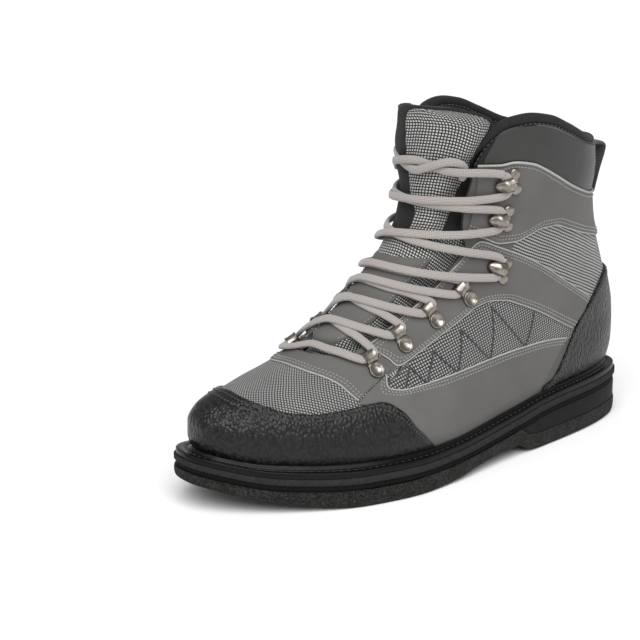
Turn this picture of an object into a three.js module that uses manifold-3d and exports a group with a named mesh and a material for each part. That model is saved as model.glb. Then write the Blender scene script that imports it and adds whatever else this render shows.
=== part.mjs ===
// A left wading boot: felt outsole with a heel step, lasted upper, riveted hardware, crossed lace.
// Millimetres, +Z up. The toe points to -Y and the outer side of the foot is +X.
import * as THREE from 'three';
import { mergeVertices } from 'three/addons/utils/BufferGeometryUtils.js';
import Module from 'manifold-3d';

// Driving sizes of the sole
const soleLength = 320;
const soleWidth = 118;
const feltThickness = 10;
const feltTaper = 0.5;
const midsoleThickness = 7.5;
const midsoleStep = 0.9;
const wedgeHeight = 11.5;
const wedgeInset = 0.6;
const archRise = 6.5;
const toeSpring = 17;
const toeSwing = 7;
const breast = 0.37;
const wedgeTip = 0.8;
const wedgeRun = 0.05;
const weltThickness = 4;
const weltInset = 1.2;
const insoleThickness = 3.5;

// Driving sizes of the upper
const upperHeight = 150;
const wall = 2.4;
const collarPad = 3.2;
const overlayThickness = 1.3;
const bindingRadius = 3.2;
const bindingLip = 1;
const tongueThickness = 5;
const loopWidth = 18;
const loopThickness = 2;

// Driving sizes of hardware and lace
const rivetRadius = 4.7;
const rivetBore = 2;
const rivetHeight = 1.4;
const rivetBevel = 0.56;
const tunnelRadius = 4.1;
const tunnelBore = 3.1;
const tunnelLength = 6.5;
const tunnelJoin = 0.4;
const hookWidth = 7;
const hookThickness = 1.2;
const hookPlateHeight = 15;
const hookReach = 12;
const hookRise = 6.8;
const studRadius = 2.2;
const studHeight = 2.2;
const studMargin = 1;
const drainRadius = 4;
const drainBore = 2.4;
const laceWidth = 5;
const laceThickness = 2.2;
const clearance = 0.3;
const overlayGap = 1;
const laceRoom = 1.85;

// Number of facets
const sideColumns = 20;
const toeColumns = 8;
const soleFacets = 48;
const tubeFacets = 8;
const ringFacets = 8;
const studFacets = 6;
const bindingFacets = 6;

// Where the last's columns of half widths stand, as shares of the sole's length:
// heel, ankle, waist, instep, ball, forefoot, toe
const stations = [0.06, 0.22, 0.4, 0.54, 0.68, 0.8, 0.92];

// The sole's outline. Columns: along (share of length), outer and inner half width (shares of width)
const soleOutline = [
  [0, 0.33, 0.33],
  [0.1, 0.34, 0.34],
  [0.25, 0.355, 0.335],
  [0.4, 0.395, 0.325],
  [0.55, 0.465, 0.395],
  [0.66, 0.5, 0.475],
  [0.74, 0.495, 0.5],
  [0.84, 0.455, 0.49],
  [0.93, 0.4, 0.45],
  [1, 0.36, 0.42],
];
const heelRoundness = 2.5;
const toeRoundness = 2.35;

// The sole's side view. Columns: along, arch lift (share of archRise), toe lift (share of toeSpring),
// wedge (share of wedgeHeight), top lift (share of toeSpring), midsole (share of its thickness)
const soleProfile = [
  [0, 0, 0, 1, 0, 1],
  [0.2, 0, 0, 0.957, 0, 1],
  [0.3, 0, 0, 0.78, 0, 1],
  [0.335, 0.31, 0, 0.64, 0, 1],
  [0.36, 1, 0, 0.55, 0, 1],
  [0.45, 0.85, 0, 0.26, 0, 1],
  [0.55, 0.19, 0, 0.06, 0, 1],
  [0.62, 0, 0, 0, 0, 1],
  [0.74, 0, 0, 0, 0, 1],
  [0.88, 0, 0.37, 0, 0.176, 0.97],
  [1, 0, 1, 0, 0.706, 0.87],
];

// The upper's side view. Columns: up (share of upperHeight), back and front (shares of soleLength)
const upperProfile = [
  [0, 0.028, 0.963],
  [0.053, 0.019, 0.972],
  [0.107, 0.014, 0.972],
  [0.16, 0.013, 0.96],
  [0.207, 0.013, 0.934],
  [0.24, 0.014, 0.9],
  [0.28, 0.016, 0.844],
  [0.333, 0.022, 0.776],
  [0.4, 0.031, 0.713],
  [0.48, 0.044, 0.659],
  [0.567, 0.059, 0.609],
  [0.653, 0.075, 0.566],
  [0.733, 0.084, 0.537],
  [0.813, 0.091, 0.525],
  [0.9, 0.094, 0.52],
  [1.04, 0.091, 0.522],
  [1.233, 0.081, 0.525],
];

// Half widths of the upper, outer side. Columns: up, then one share of soleWidth for each station
const outerWidths = [
  [0, 0.271, 0.297, 0.339, 0.407, 0.441, 0.398, 0.339],
  [0.067, 0.297, 0.322, 0.356, 0.424, 0.458, 0.415, 0.356],
  [0.147, 0.305, 0.326, 0.356, 0.415, 0.441, 0.398, 0.339],
  [0.227, 0.297, 0.322, 0.347, 0.39, 0.398, 0.364, 0.314],
  [0.333, 0.28, 0.314, 0.331, 0.356, 0.356, 0.339, 0.305],
  [0.467, 0.258, 0.301, 0.314, 0.322, 0.322, 0.305, 0.288],
  [0.6, 0.246, 0.297, 0.305, 0.305, 0.305, 0.288, 0.271],
  [0.733, 0.25, 0.314, 0.322, 0.305, 0.288, 0.271, 0.254],
  [0.9, 0.271, 0.356, 0.356, 0.322, 0.288, 0.271, 0.254],
  [1.233, 0.305, 0.398, 0.398, 0.347, 0.305, 0.288, 0.271],
];

// Half widths of the upper, inner side, in the same columns
const innerWidths = [
  [0, 0.271, 0.28, 0.288, 0.339, 0.441, 0.432, 0.381],
  [0.067, 0.297, 0.305, 0.305, 0.356, 0.458, 0.449, 0.39],
  [0.147, 0.305, 0.318, 0.318, 0.364, 0.445, 0.441, 0.381],
  [0.227, 0.297, 0.318, 0.322, 0.356, 0.436, 0.428, 0.373],
  [0.333, 0.28, 0.314, 0.322, 0.339, 0.39, 0.386, 0.347],
  [0.467, 0.258, 0.301, 0.314, 0.322, 0.322, 0.305, 0.288],
  [0.6, 0.246, 0.297, 0.305, 0.305, 0.305, 0.288, 0.271],
  [0.733, 0.25, 0.314, 0.322, 0.305, 0.288, 0.271, 0.254],
  [0.9, 0.271, 0.356, 0.356, 0.322, 0.288, 0.271, 0.254],
  [1.233, 0.305, 0.398, 0.398, 0.347, 0.305, 0.288, 0.271],
];

// Roundness of the upper's two ends in plan. Columns: up, toe exponent, heel exponent
const endRoundness = [
  [0, 2.35, 2.4],
  [0.133, 2.3, 2.35],
  [0.267, 2.1, 2.3],
  [0.467, 2, 2.24],
  [0.667, 2, 2.2],
  [1.233, 2.1, 2.3],
];

// The throat's edge. Columns: up, angle from the heel's back in degrees
const throatEdge = [
  [0.34, 150],
  [0.39, 146],
  [0.44, 141],
  [0.513, 135],
  [0.587, 129.5],
  [0.653, 127],
  [0.693, 131],
  [0.747, 135],
  [0.813, 136.5],
  [0.9, 135],
  [1, 133],
  [1.2, 127],
];
const throatBottom = 0.352;

// The collar's edge. Columns: share of the way from heel to throat, up
const collarEdge = [
  [0, 0.99],
  [0.2, 0.998],
  [0.45, 1.035],
  [0.6, 1.092],
  [0.7, 1.129],
  [0.8, 1.143],
  [0.87, 1.134],
  [0.93, 1.105],
  [0.97, 1.06],
  [1, 0.99],
];

// Rows of the upper's facets: up to the throat's bottom, then shares of the way to the collar
const footRows = [0.05, 0.11, 0.16, 0.2, 0.232, 0.262, 0.3, throatBottom];
const legRows = [0.1, 0.21, 0.33, 0.45, 0.58, 0.72, 0.86, 1];

const { Vector3 } = THREE;
const radians = THREE.MathUtils.degToRad;
const wasm = await Module();
wasm.setup();

// Smooth curves through a table, without overshoot between its rows
function curve(rows, column) {
  const xs = rows.map((row) => row[0]);
  const ys = rows.map((row) => row[column]);
  const steps = xs.slice(1).map((x, i) => x - xs[i]);
  const rises = steps.map((step, i) => (ys[i + 1] - ys[i]) / step);
  const slopes = xs.map((_, i) => {
    if (i === 0) return rises[0];
    if (i === steps.length) return rises[i - 1];
    if (rises[i - 1] * rises[i] <= 0) return 0;
    const before = 2 * steps[i] + steps[i - 1];
    const after = steps[i] + 2 * steps[i - 1];
    return (before + after) / (before / rises[i - 1] + after / rises[i]);
  });
  return (x) => {
    const at = THREE.MathUtils.clamp(x, xs[0], xs.at(-1));
    let i = 0;
    while (i < steps.length - 1 && at >= xs[i + 1]) i += 1;
    const t = (at - xs[i]) / steps[i];
    const ease = t * t * (3 - 2 * t);
    const rise = t * (1 - t) ** 2 * slopes[i] + t * t * (t - 1) * slopes[i + 1];
    return ys[i] * (1 - ease) + ys[i + 1] * ease + rise * steps[i];
  };
}

const smooth = (x) => THREE.MathUtils.smoothstep(x, 0, 1);
const endClosing = (c, exponent) => Math.max(1 - Math.abs(c) ** exponent, 0) ** (1 / exponent);
const swing = (along) => -toeSwing * THREE.MathUtils.clamp((along - 0.45) / 0.55, 0, 1) ** 2;

// Sole surfaces: height above the floor at a share of the length
const [archLift, toeLift, wedgeShare, topLift, midShare] = [1, 2, 3, 4, 5].map((k) => curve(soleProfile, k));
const feltUnder = (along) => archRise * archLift(along) + toeSpring * toeLift(along);
const midsoleTop = (along) =>
  feltThickness + midsoleThickness + wedgeHeight * wedgeShare(along) + toeSpring * topLift(along);
const midsoleUnder = (along) => midsoleTop(along) - midsoleThickness * midShare(along);
const wedgeRoom = (along) => (wedgeTip + clearance) * smooth((breast + wedgeRun - along) / wedgeRun);
const feltTop = (along) =>
  Math.min(feltUnder(along) + feltThickness, midsoleUnder(along) - clearance - wedgeRoom(along));

// Plan of the sole at an angle from the heel's back, 0 to 180 on the outer side
const outerHalf = curve(soleOutline, 1);
const innerHalf = curve(soleOutline, 2);
function planPoint(angle) {
  const c = -Math.cos(radians(angle));
  const along = (c + 1) / 2;
  const closing = endClosing(c, c < 0 ? heelRoundness : toeRoundness);
  const outer = Math.sin(radians(angle)) >= 0;
  const half = outer ? outerHalf(along) : -innerHalf(along);
  return new THREE.Vector2(half * soleWidth * closing + swing(along), soleLength * (0.5 - along));
}

const fullTurn = 360;
const planAngles = Array.from({ length: soleFacets + 1 }, (_, i) => -180 + (fullTurn * i) / soleFacets);
const planSides = planAngles.map((angle) => planPoint(angle).x);
const centre = (Math.min(...planSides) + Math.max(...planSides)) / 2;

// A point of the sole's edge, moved in by inset, at the height that a surface has there
function solePoint(angle, inset, height) {
  const step = 0.5;
  const before = planPoint(angle - step);
  const after = planPoint(angle + step);
  const inwards = new THREE.Vector2(before.y - after.y, after.x - before.x).normalize();
  const point = planPoint(angle);
  const middle = new THREE.Vector2(swing(0.5 - point.y / soleLength), 0);
  if (inwards.dot(middle.sub(new THREE.Vector2(point.x, point.y * 0.2))) < 0) inwards.negate();
  point.addScaledVector(inwards, inset);
  return new Vector3(point.x - centre, point.y, height(0.5 - point.y / soleLength));
}

// The lasted surface: angle from the heel's back in degrees, up as a share of upperHeight
const backOf = curve(upperProfile, 1);
const frontOf = curve(upperProfile, 2);
const toeExponent = curve(endRoundness, 1);
const heelExponent = curve(endRoundness, 2);
const outerCurves = stations.map((_, i) => curve(outerWidths, i + 1));
const innerCurves = stations.map((_, i) => curve(innerWidths, i + 1));
const levelHeight = 0.867;
const levelStation = 0.1;

// The throat sits towards the outer side of the instep: the inner side's features move round by these degrees
const throatSkew = 18;
const skewFrom = 165;
const skewOver = 50;
const skewBack = 75;
const skewAt = (up) => smooth((up - 0.27) / 0.1) * (1 - smooth((up - 0.62) / 0.16));
const skewed = (turn) =>
  smooth((turn - skewFrom) / skewOver) * (1 - smooth((turn - skewFrom - skewOver) / skewBack));

function lastPoint(angle, up) {
  const given = ((angle % fullTurn) + fullTurn) % fullTurn;
  const turn = given - throatSkew * skewAt(up) * skewed(given);
  const c = -Math.cos(radians(turn));
  const along = (backOf(up) + frontOf(up)) / 2 + ((frontOf(up) - backOf(up)) / 2) * c;
  const closing = endClosing(c, c < 0 ? heelExponent(up) : toeExponent(up));
  const curves = turn <= 180 ? outerCurves : innerCurves;
  const half = curve(stations.map((x, i) => [x, curves[i](up)]), 1)(along);
  const side = (turn <= 180 ? 1 : -1) * half * soleWidth * closing + swing(along);
  const fade = smooth(up / levelHeight);
  const base = midsoleTop(along) * (1 - fade) + midsoleTop(levelStation) * fade;
  return new Vector3(side - centre, soleLength * (0.5 - along), up * upperHeight + weltThickness + base);
}

function lastNormal(angle, up) {
  const turned = lastPoint(angle + 0.6, up).sub(lastPoint(angle - 0.6, up));
  const risen = lastPoint(angle, up + 0.005).sub(lastPoint(angle, up - 0.005));
  return risen.cross(turned).normalize();
}

// A point off the lasted surface. Overlays end on it, the upper's wall lies under them
const surfacePoint = (angle, up, off) => lastPoint(angle, up).addScaledVector(lastNormal(angle, up), off);
const overlayUnder = -overlayThickness;
const upperOuter = -(overlayThickness + overlayGap);
const padding = (up) => collarPad * smooth((up - 0.62) / 0.2);
const upperInner = (up) => upperOuter - wall - padding(up);

// Closed solids
function closedGeometry(points, triangles) {
  const geometry = new THREE.BufferGeometry();
  geometry.setAttribute('position', new THREE.Float32BufferAttribute(points.flatMap((p) => p.toArray()), 3));
  geometry.setIndex(triangles.flat());
  const merged = mergeVertices(geometry, 1e-3);
  const index = merged.index.array;
  const kept = [];
  let volume = 0;
  const [a, b, c] = [new Vector3(), new Vector3(), new Vector3()];
  for (let i = 0; i < index.length; i += 3) {
    const corners = [index[i], index[i + 1], index[i + 2]];
    if (new Set(corners).size < 3) continue;
    kept.push(corners);
    [a, b, c].forEach((v, k) => v.fromBufferAttribute(merged.attributes.position, corners[k]));
    volume += a.dot(b.clone().cross(c));
  }
  if (volume < 0) kept.forEach((corners) => corners.reverse());
  merged.setIndex(kept.flat());
  return merged;
}

function toManifold(geometry) {
  const vertProperties = new Float32Array(geometry.attributes.position.array);
  const triVerts = new Uint32Array(geometry.index.array);
  return new wasm.Manifold(new wasm.Mesh({ numProp: 3, vertProperties, triVerts }));
}

function fromManifold(solid) {
  const mesh = solid.getMesh();
  const geometry = new THREE.BufferGeometry();
  geometry.setAttribute('position', new THREE.BufferAttribute(mesh.vertProperties, 3));
  geometry.setIndex(new THREE.BufferAttribute(mesh.triVerts, 1));
  return geometry;
}

// A solid between rings of points, one above another, with strips across its two ends.
// Each ring runs from -angle to +angle round the heel, so point k faces point last - k.
function slab(rings) {
  const count = rings[0].length;
  const triangles = [];
  const quad = (a, b, c, d) => triangles.push([a, b, c], [a, c, d]);
  rings.slice(1).forEach((_, level) => {
    for (let k = 0; k < count; k += 1) {
      const next = (k + 1) % count;
      const low = level * count;
      quad(low + k, low + next, low + count + next, low + count + k);
    }
  });
  const top = (rings.length - 1) * count;
  for (let k = 0; k < Math.floor(count / 2); k += 1) {
    const far = count - 1 - k;
    quad(k, far, far - 1, k + 1);
    quad(top + k, top + k + 1, top + far - 1, top + far);
  }
  return closedGeometry(rings.flat(), triangles);
}

// A solid that follows a path: one ring of points for each step, with flat ends unless it is closed
function sweep(rings, isClosed = false) {
  const sides = rings[0].length;
  const triangles = [];
  const steps = isClosed ? rings.length : rings.length - 1;
  for (let i = 0; i < steps; i += 1) {
    const here = i * sides;
    const there = ((i + 1) % rings.length) * sides;
    for (let k = 0; k < sides; k += 1) {
      const next = (k + 1) % sides;
      triangles.push([here + k, here + next, there + next], [here + k, there + next, there + k]);
    }
  }
  const last = (rings.length - 1) * sides;
  if (!isClosed) {
    for (let k = 1; k < sides - 1; k += 1) {
      triangles.push([0, k + 1, k], [last, last + k, last + k + 1]);
    }
  }
  return closedGeometry(rings.flat(), triangles);
}

// A wall between two grids of points. has(i, j) says which of the grid's cells are there
function wallSolid(outer, inner, has, wraps) {
  const rows = outer.length;
  const columns = outer[0].length;
  const points = [...outer.flat(), ...inner.flat()];
  const under = rows * columns;
  const triangles = [];
  const cells = wraps ? columns : columns - 1;
  const present = (i, j) => {
    if (i < 0 || i >= rows - 1) return false;
    if (!wraps && (j < 0 || j >= cells)) return false;
    return has(i, (j + cells) % cells);
  };
  const rim = (a, b) => triangles.push([b, a, a + under], [b, a + under, b + under]);
  for (let i = 0; i < rows - 1; i += 1) {
    for (let j = 0; j < cells; j += 1) {
      if (!present(i, j)) continue;
      const a = i * columns + j;
      const b = i * columns + ((j + 1) % columns);
      const c = b + columns;
      const d = a + columns;
      triangles.push([a, b, c], [a, c, d]);
      triangles.push([a + under, c + under, b + under], [a + under, d + under, c + under]);
      if (!present(i - 1, j)) rim(a, b);
      if (!present(i, j + 1)) rim(b, c);
      if (!present(i + 1, j)) rim(c, d);
      if (!present(i, j - 1)) rim(d, a);
    }
  }
  return closedGeometry(points, triangles);
}

// Materials
const finish = (color, roughness, metalness = 0) =>
  new THREE.MeshStandardMaterial({ color, roughness, metalness });
const materials = {
  felt: finish(0x3c3c3e, 0.98),
  rubber: finish(0x2b2b2d, 0.7),
  midsole: finish(0x4a4a4d, 0.75),
  welt: finish(0x1f1f21, 0.45),
  insole: finish(0x2f2f31, 0.9),
  mesh: finish(0x77777a, 0.9),
  leather: finish(0x19191b, 0.6),
  synthetic: finish(0x5d5c5c, 0.7),
  neoprene: finish(0x161617, 0.85),
  webbing: finish(0x1c1c1e, 0.9),
  metal: finish(0x9c968c, 0.35, 0.9),
  lace: finish(0x8d8980, 0.9),
};

const boot = new THREE.Group();
function add(name, geometry, material) {
  const mesh = new THREE.Mesh(geometry, material);
  mesh.name = name;
  boot.add(mesh);
}

// Sole: felt, wedge and midsole, all cut to the sole's outline
const chain = (limit, count) => Array.from({ length: count + 1 }, (_, i) => -limit + (2 * limit * i) / count);
const wholeSole = chain(180, soleFacets);
const breastAngle = THREE.MathUtils.radToDeg(Math.acos(1 - 2 * breast));
const heelPart = wholeSole.filter((angle) => Math.abs(angle) < breastAngle + 180 / soleFacets);
const soleRing = (angles, inset, height) => angles.map((angle) => solePoint(angle, inset, height));

const feltRings = [soleRing(wholeSole, feltTaper, feltUnder), soleRing(wholeSole, 0, feltTop)];
add('outsole_felt', slab(feltRings), materials.felt);

const wedgeUnder = (along) => feltTop(along) + clearance;
const wedgeTop = (along) => midsoleUnder(along) - clearance;
add(
  'heel_wedge',
  slab([soleRing(heelPart, wedgeInset, wedgeUnder), soleRing(heelPart, wedgeInset, wedgeTop)]),
  materials.rubber,
);

const bandSplit = (along) => (midsoleUnder(along) + midsoleTop(along)) / 2;
add(
  'midsole',
  slab([
    soleRing(wholeSole, midsoleStep, midsoleUnder),
    soleRing(wholeSole, midsoleStep, bandSplit),
    soleRing(wholeSole, 0, bandSplit),
    soleRing(wholeSole, 0, midsoleTop),
  ]),
  materials.midsole,
);

// Welt: a ring from the sole's edge to the upper. Columns: across, height (share of weltThickness)
const weltSection = [
  [0, 0],
  [0, 1],
  [0.4, 1],
  [0.47, 0.7],
  [0.55, 1],
  [0.72, 1],
  [0.83, 1.45],
  [1, 1.35],
  [1, 0],
];
const weltTopShare = 1.45;
const weltRings = wholeSole.slice(0, -1).map((angle) =>
  weltSection.map(([across, share]) => {
    const height = share * (weltThickness - clearance);
    const up = (height - weltThickness + clearance) / upperHeight;
    const inner = surfacePoint(angle, up, overlayUnder);
    const point = solePoint(angle, weltInset, midsoleTop).lerp(inner, across);
    point.z = midsoleTop(0.5 - point.y / soleLength) + clearance + height;
    return point;
  }),
);
add('welt', sweep(weltRings, true), materials.welt);

// Insole: cut to the upper's inside
const insoleInset = -clearance;
const baseUp = (clearance - weltThickness) / upperHeight;
const insoleRing = (height) =>
  wholeSole.map((angle) => {
    const point = surfacePoint(angle, baseUp, upperInner(0) + insoleInset);
    point.z = midsoleTop(0.5 - point.y / soleLength) + clearance + height;
    return point;
  });
add('insole', slab([insoleRing(0), insoleRing(insoleThickness)]), materials.insole);

// Upper: columns run round the heel to the throat's edges, and over the toe between them
const throatAngle = curve(throatEdge, 1);
const collarUp = curve(collarEdge, 1);
const bindingRoom = (2 * bindingRadius + clearance) / upperHeight;
const columnCount = 2 * sideColumns + toeColumns;
const openRow = footRows.length;

function columnAngle(column, up) {
  const edge = throatAngle(up);
  if (column <= sideColumns) return (edge * column) / sideColumns;
  if (column >= sideColumns + toeColumns) return fullTurn - (edge * (columnCount - column)) / sideColumns;
  return edge + ((fullTurn - 2 * edge) * (column - sideColumns)) / toeColumns;
}

const heelShare = (column) => Math.min(column, columnCount - column) / sideColumns;

// Each facet corner's angle and height: rows of the foot, then rows of the leg
const lastGrid = [baseUp, ...footRows].map((up) =>
  Array.from({ length: columnCount }, (_, column) => [columnAngle(column, up), up]),
);
legRows.forEach((share) => {
  lastGrid.push(
    Array.from({ length: columnCount }, (_, column) => {
      const top = collarUp(Math.min(heelShare(column), 1)) - bindingRoom;
      const up = throatBottom + (top - throatBottom) * share;
      return [columnAngle(column, up), up];
    }),
  );
});
const inThroat = (row, column) =>
  row >= openRow && column >= sideColumns && column < sideColumns + toeColumns;
const offsetGrid = (off) => lastGrid.map((row) => row.map(([angle, up]) => surfacePoint(angle, up, off(up))));
const isWall = (i, j) => !inThroat(i, j);
const upperShell = wallSolid(offsetGrid(() => upperOuter), offsetGrid(upperInner), isWall, true);

// Drain eyelets: two rings in the inner side, with their bores cut through the wall.
// Columns: angle, up
const drainPlaces = [
  [285, 0.21],
  [300, 0.2],
];

function frameAt(angle, up, off) {
  const z = lastNormal(angle, up);
  const x = new Vector3(0, 0, 1).cross(z).normalize();
  const y = z.clone().cross(x);
  return new THREE.Matrix4().makeBasis(x, y, z).setPosition(surfacePoint(angle, up, off));
}

function ringGeometry(radius, bore, height, facets) {
  const outline = [
    [bore, 0],
    [radius, 0],
    [radius - rivetBevel, height],
    [bore, height],
    [bore, 0],
  ].map(([x, y]) => new THREE.Vector2(x, y));
  const lathe = new THREE.LatheGeometry(outline, facets).rotateX(Math.PI / 2);
  lathe.deleteAttribute('normal');
  lathe.deleteAttribute('uv');
  return closedGeometry(positionsOf(lathe), indexTriples(lathe));
}

function positionsOf(geometry) {
  const { position } = geometry.attributes;
  return Array.from({ length: position.count }, (_, i) => new Vector3().fromBufferAttribute(position, i));
}

function indexTriples(geometry) {
  const index = Array.from(geometry.index.array);
  return Array.from({ length: index.length / 3 }, (_, i) => index.slice(3 * i, 3 * i + 3));
}

// A cylinder on +Z from z = low to z = high
function post(radius, low, high, facets) {
  const cylinder = new THREE.CylinderGeometry(radius, radius, high - low, facets).rotateX(Math.PI / 2);
  cylinder.translate(0, 0, (low + high) / 2);
  cylinder.deleteAttribute('normal');
  cylinder.deleteAttribute('uv');
  return closedGeometry(positionsOf(cylinder), indexTriples(cylinder));
}

let upperSolid = toManifold(upperShell);
drainPlaces.forEach(([angle, up]) => {
  const drill = post(drainBore, -3 * wall - overlayThickness, overlayThickness, tubeFacets);
  upperSolid = upperSolid.subtract(toManifold(drill.applyMatrix4(frameAt(angle, up, 0))));
});
add('upper', fromManifold(upperSolid), materials.mesh);

// Overlays: patches between two offsets of the lasted surface, from a low edge to a high edge.
// Edge columns: low angle, low up, high angle, high up
const foot = ((weltTopShare - 1) * weltThickness + clearance) / upperHeight;

function patch(rows, stepsPerRow, cells) {
  const indexed = rows.map((row, i) => [i, ...row]);
  const [lowAngle, lowUp, highAngle, highUp] = [1, 2, 3, 4].map((k) => curve(indexed, k));
  const count = (rows.length - 1) * stepsPerRow;
  const place = (i, cell, off) => {
    const at = i / stepsPerRow;
    const angle = THREE.MathUtils.lerp(lowAngle(at), highAngle(at), cell / cells);
    const up = THREE.MathUtils.lerp(lowUp(at), highUp(at), cell / cells);
    return surfacePoint(angle, up, off);
  };
  const grid = (off) =>
    Array.from({ length: cells + 1 }, (_, cell) =>
      Array.from({ length: count + 1 }, (__, i) => place(i, cell, off)),
    );
  return wallSolid(grid(0), grid(overlayUnder), () => true, false);
}

function overlay(name, rows, material, stepsPerRow, cells, holes = []) {
  let solid = toManifold(patch(rows, stepsPerRow, cells));
  holes.forEach((hole) => {
    solid = solid.subtract(toManifold(hole));
  });
  add(name, fromManifold(solid), material);
}

// Rows of one half, then the same rows mirrored to the other side of the toe or of the heel
const onInnerSide = ([lowAngle, lowUp, highAngle, highUp]) =>
  [fullTurn - lowAngle, lowUp, fullTurn - highAngle, highUp];
const roundToe = (half) => [...half, ...half.slice(0, -1).reverse().map(onInnerSide)];
const roundHeel = (half) => [
  ...half,
  ...half.slice(0, -1).reverse().map(([a, b, c, d]) => [-a, b, -c, d]),
];

const toeCap = [
  [101, foot, 101.4, 0.026],
  [105, foot, 106, 0.099],
  [112.5, foot, 111.5, 0.176],
  [120, foot, 119, 0.213],
  [127.5, foot, 127.5, 0.201],
  [135, foot, 135, 0.192],
  [142.5, foot, 142.5, 0.197],
  [150, foot, 150, 0.21],
  [157.5, foot, 157.5, 0.221],
  [165, foot, 165, 0.229],
  [172.5, foot, 172.5, 0.235],
  [180, foot, 180, 0.238],
];
overlay('toe_cap', roundToe(toeCap), materials.leather, 1, 4);

const heelCounter = [
  [62.6, foot, 62.4, 0.034],
  [60, foot, 59.5, 0.05],
  [56, foot, 56.5, 0.11],
  [52.5, foot, 53.2, 0.2],
  [48.5, foot, 51, 0.27],
  [45, foot, 45, 0.333],
  [37.5, foot, 37.5, 0.378],
  [30, foot, 30, 0.405],
  [22.5, foot, 22.5, 0.418],
  [15, foot, 15, 0.424],
  [7.5, foot, 7.5, 0.427],
  [0, foot, 0, 0.428],
];
overlay('heel_counter', roundHeel(heelCounter), materials.leather, 1, 4);

const vamp = [
  [125.5, 0.226, 126, 0.302],
  [131.4, 0.251, 132, 0.324],
  [139.9, 0.278, 139, 0.347],
  [150, 0.298, 148, 0.349],
  [160, 0.309, 158, 0.349],
  [170, 0.316, 169, 0.349],
  [180, 0.318, 180, 0.349],
];
overlay('vamp', roundToe(vamp), materials.synthetic, 1, 2);

// The outer quarter leaves a mesh window, the inner quarter covers it
const outerQuarter = [
  [65, foot, 56, 0.205],
  [70, foot, 62.5, 0.222],
  [75, foot, 70, 0.236],
  [82.5, foot, 80, 0.249],
  [90, foot, 90, 0.2535],
  [97.5, foot, 97.5, 0.2525],
  [99.6, foot, 101, 0.249],
  [102.3, 0.057, 103.5, 0.247],
  [105, 0.108, 106, 0.244],
  [112.5, 0.196, 113, 0.235],
  [117.5, 0.2225, 118, 0.244],
  [121, 0.228, 122.5, 0.292],
];
const innerQuarter = [
  [65, foot, 54.5, 0.228],
  [70, foot, 60, 0.262],
  [75, foot, 67.5, 0.303],
  [82.5, foot, 79, 0.364],
  [90, foot, 90, 0.418],
  [97.5, foot, 97.5, 0.441],
  [99.6, foot, 102, 0.447],
  [102.3, 0.057, 104.5, 0.446],
  [105, 0.108, 107, 0.441],
  [112.5, 0.196, 113.5, 0.404],
  [117.5, 0.2225, 119.3, 0.35],
  [121, 0.228, 123.2, 0.296],
];
const eyestay = [
  [53.9, 0.238, 46.5, 0.34],
  [63.8, 0.291, 55.2, 0.388],
  [76.6, 0.362, 66.1, 0.452],
  [87.8, 0.417, 76.3, 0.514],
  [95.8, 0.448, 85.9, 0.563],
  [103, 0.459, 93, 0.594],
  [107.5, 0.452, 107, 0.64],
  [113, 0.417, 120.5, 0.674],
  [118, 0.379, 127, 0.6],
  [121.5, 0.34, 132.5, 0.52],
  [124.5, 0.31, 138.5, 0.46],
  [131.5, 0.334, 142.5, 0.405],
  [138.5, 0.356, 145.5, 0.37],
];
const anklePanel = [
  [5, 0.565, 5, 0.765],
  [18, 0.572, 18, 0.767],
  [31.5, 0.585, 30, 0.772],
  [49.6, 0.618, 45, 0.785],
  [65.8, 0.66, 60, 0.815],
  [78.6, 0.692, 72, 0.85],
  [87, 0.692, 84, 0.897],
  [94, 0.675, 93.4, 0.935],
  [101, 0.658, 102, 0.962],
  [109, 0.66, 112.2, 0.973],
  [120, 0.688, 121, 0.965],
  [131, 0.71, 132.5, 0.965],
];

const sides = [
  { side: 'lateral', turn: (rows) => rows, quarter: outerQuarter, cells: 4 },
  { side: 'medial', turn: (rows) => rows.map(onInnerSide), quarter: innerQuarter, cells: 6 },
];
const drainHoles = drainPlaces.map(([angle, up]) =>
  post(drainRadius + clearance, -2 * overlayThickness, 2 * overlayThickness, ringFacets).applyMatrix4(
    frameAt(angle, up, 0),
  ),
);
sides.forEach(({ side, turn, quarter, cells }) => {
  const holes = side === 'medial' ? drainHoles : [];
  overlay(`quarter_${side}`, turn(quarter), materials.synthetic, 1, cells, holes);
  overlay(`eyestay_${side}`, turn(eyestay), materials.synthetic, 1, 3);
  overlay(`ankle_panel_${side}`, turn(anklePanel), materials.synthetic, 1, 3);
});

drainPlaces.forEach(([angle, up], i) => {
  const ring = ringGeometry(drainRadius, drainBore, rivetHeight, ringFacets);
  const ringFrame = frameAt(angle, up, upperOuter + clearance);
  add(`drain_eyelet_${i + 1}`, ring.applyMatrix4(ringFrame), materials.metal);
});

// Collar binding: a round roll seated on the collar's edge, from one throat edge round the heel
function tube(centres, acrossAxes, upAxes, width, height, facets = tubeFacets) {
  return sweep(
    centres.map((middle, i) =>
      Array.from({ length: facets }, (_, k) => {
        const turn = (2 * Math.PI * (k + 0.5)) / facets;
        return middle
          .clone()
          .addScaledVector(acrossAxes[i], (Math.cos(turn) * width) / 2)
          .addScaledVector(upAxes[i], (Math.sin(turn) * height) / 2);
      }),
    ),
  );
}

const collarRow = lastGrid.at(-1);
const bindingColumns = [];
for (let column = sideColumns; column >= -sideColumns; column -= 1) bindingColumns.push(column);
const bindingPlaces = bindingColumns.map((column) => collarRow[(column + columnCount) % columnCount]);
const bindingCentres = bindingPlaces.map(([angle, up]) => {
  const middle = surfacePoint(angle, up, (upperOuter + upperInner(up)) / 2);
  return middle.add(new Vector3(0, 0, bindingRadius + 2 * clearance));
});
add(
  'collar_binding',
  tube(
    bindingCentres,
    bindingPlaces.map(([angle, up]) => lastNormal(angle, up).setZ(0).normalize()),
    bindingPlaces.map(() => new Vector3(0, 0, 1)),
    wall + collarPad + bindingLip,
    2 * bindingRadius,
    bindingFacets,
  ),
  materials.neoprene,
);

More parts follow.
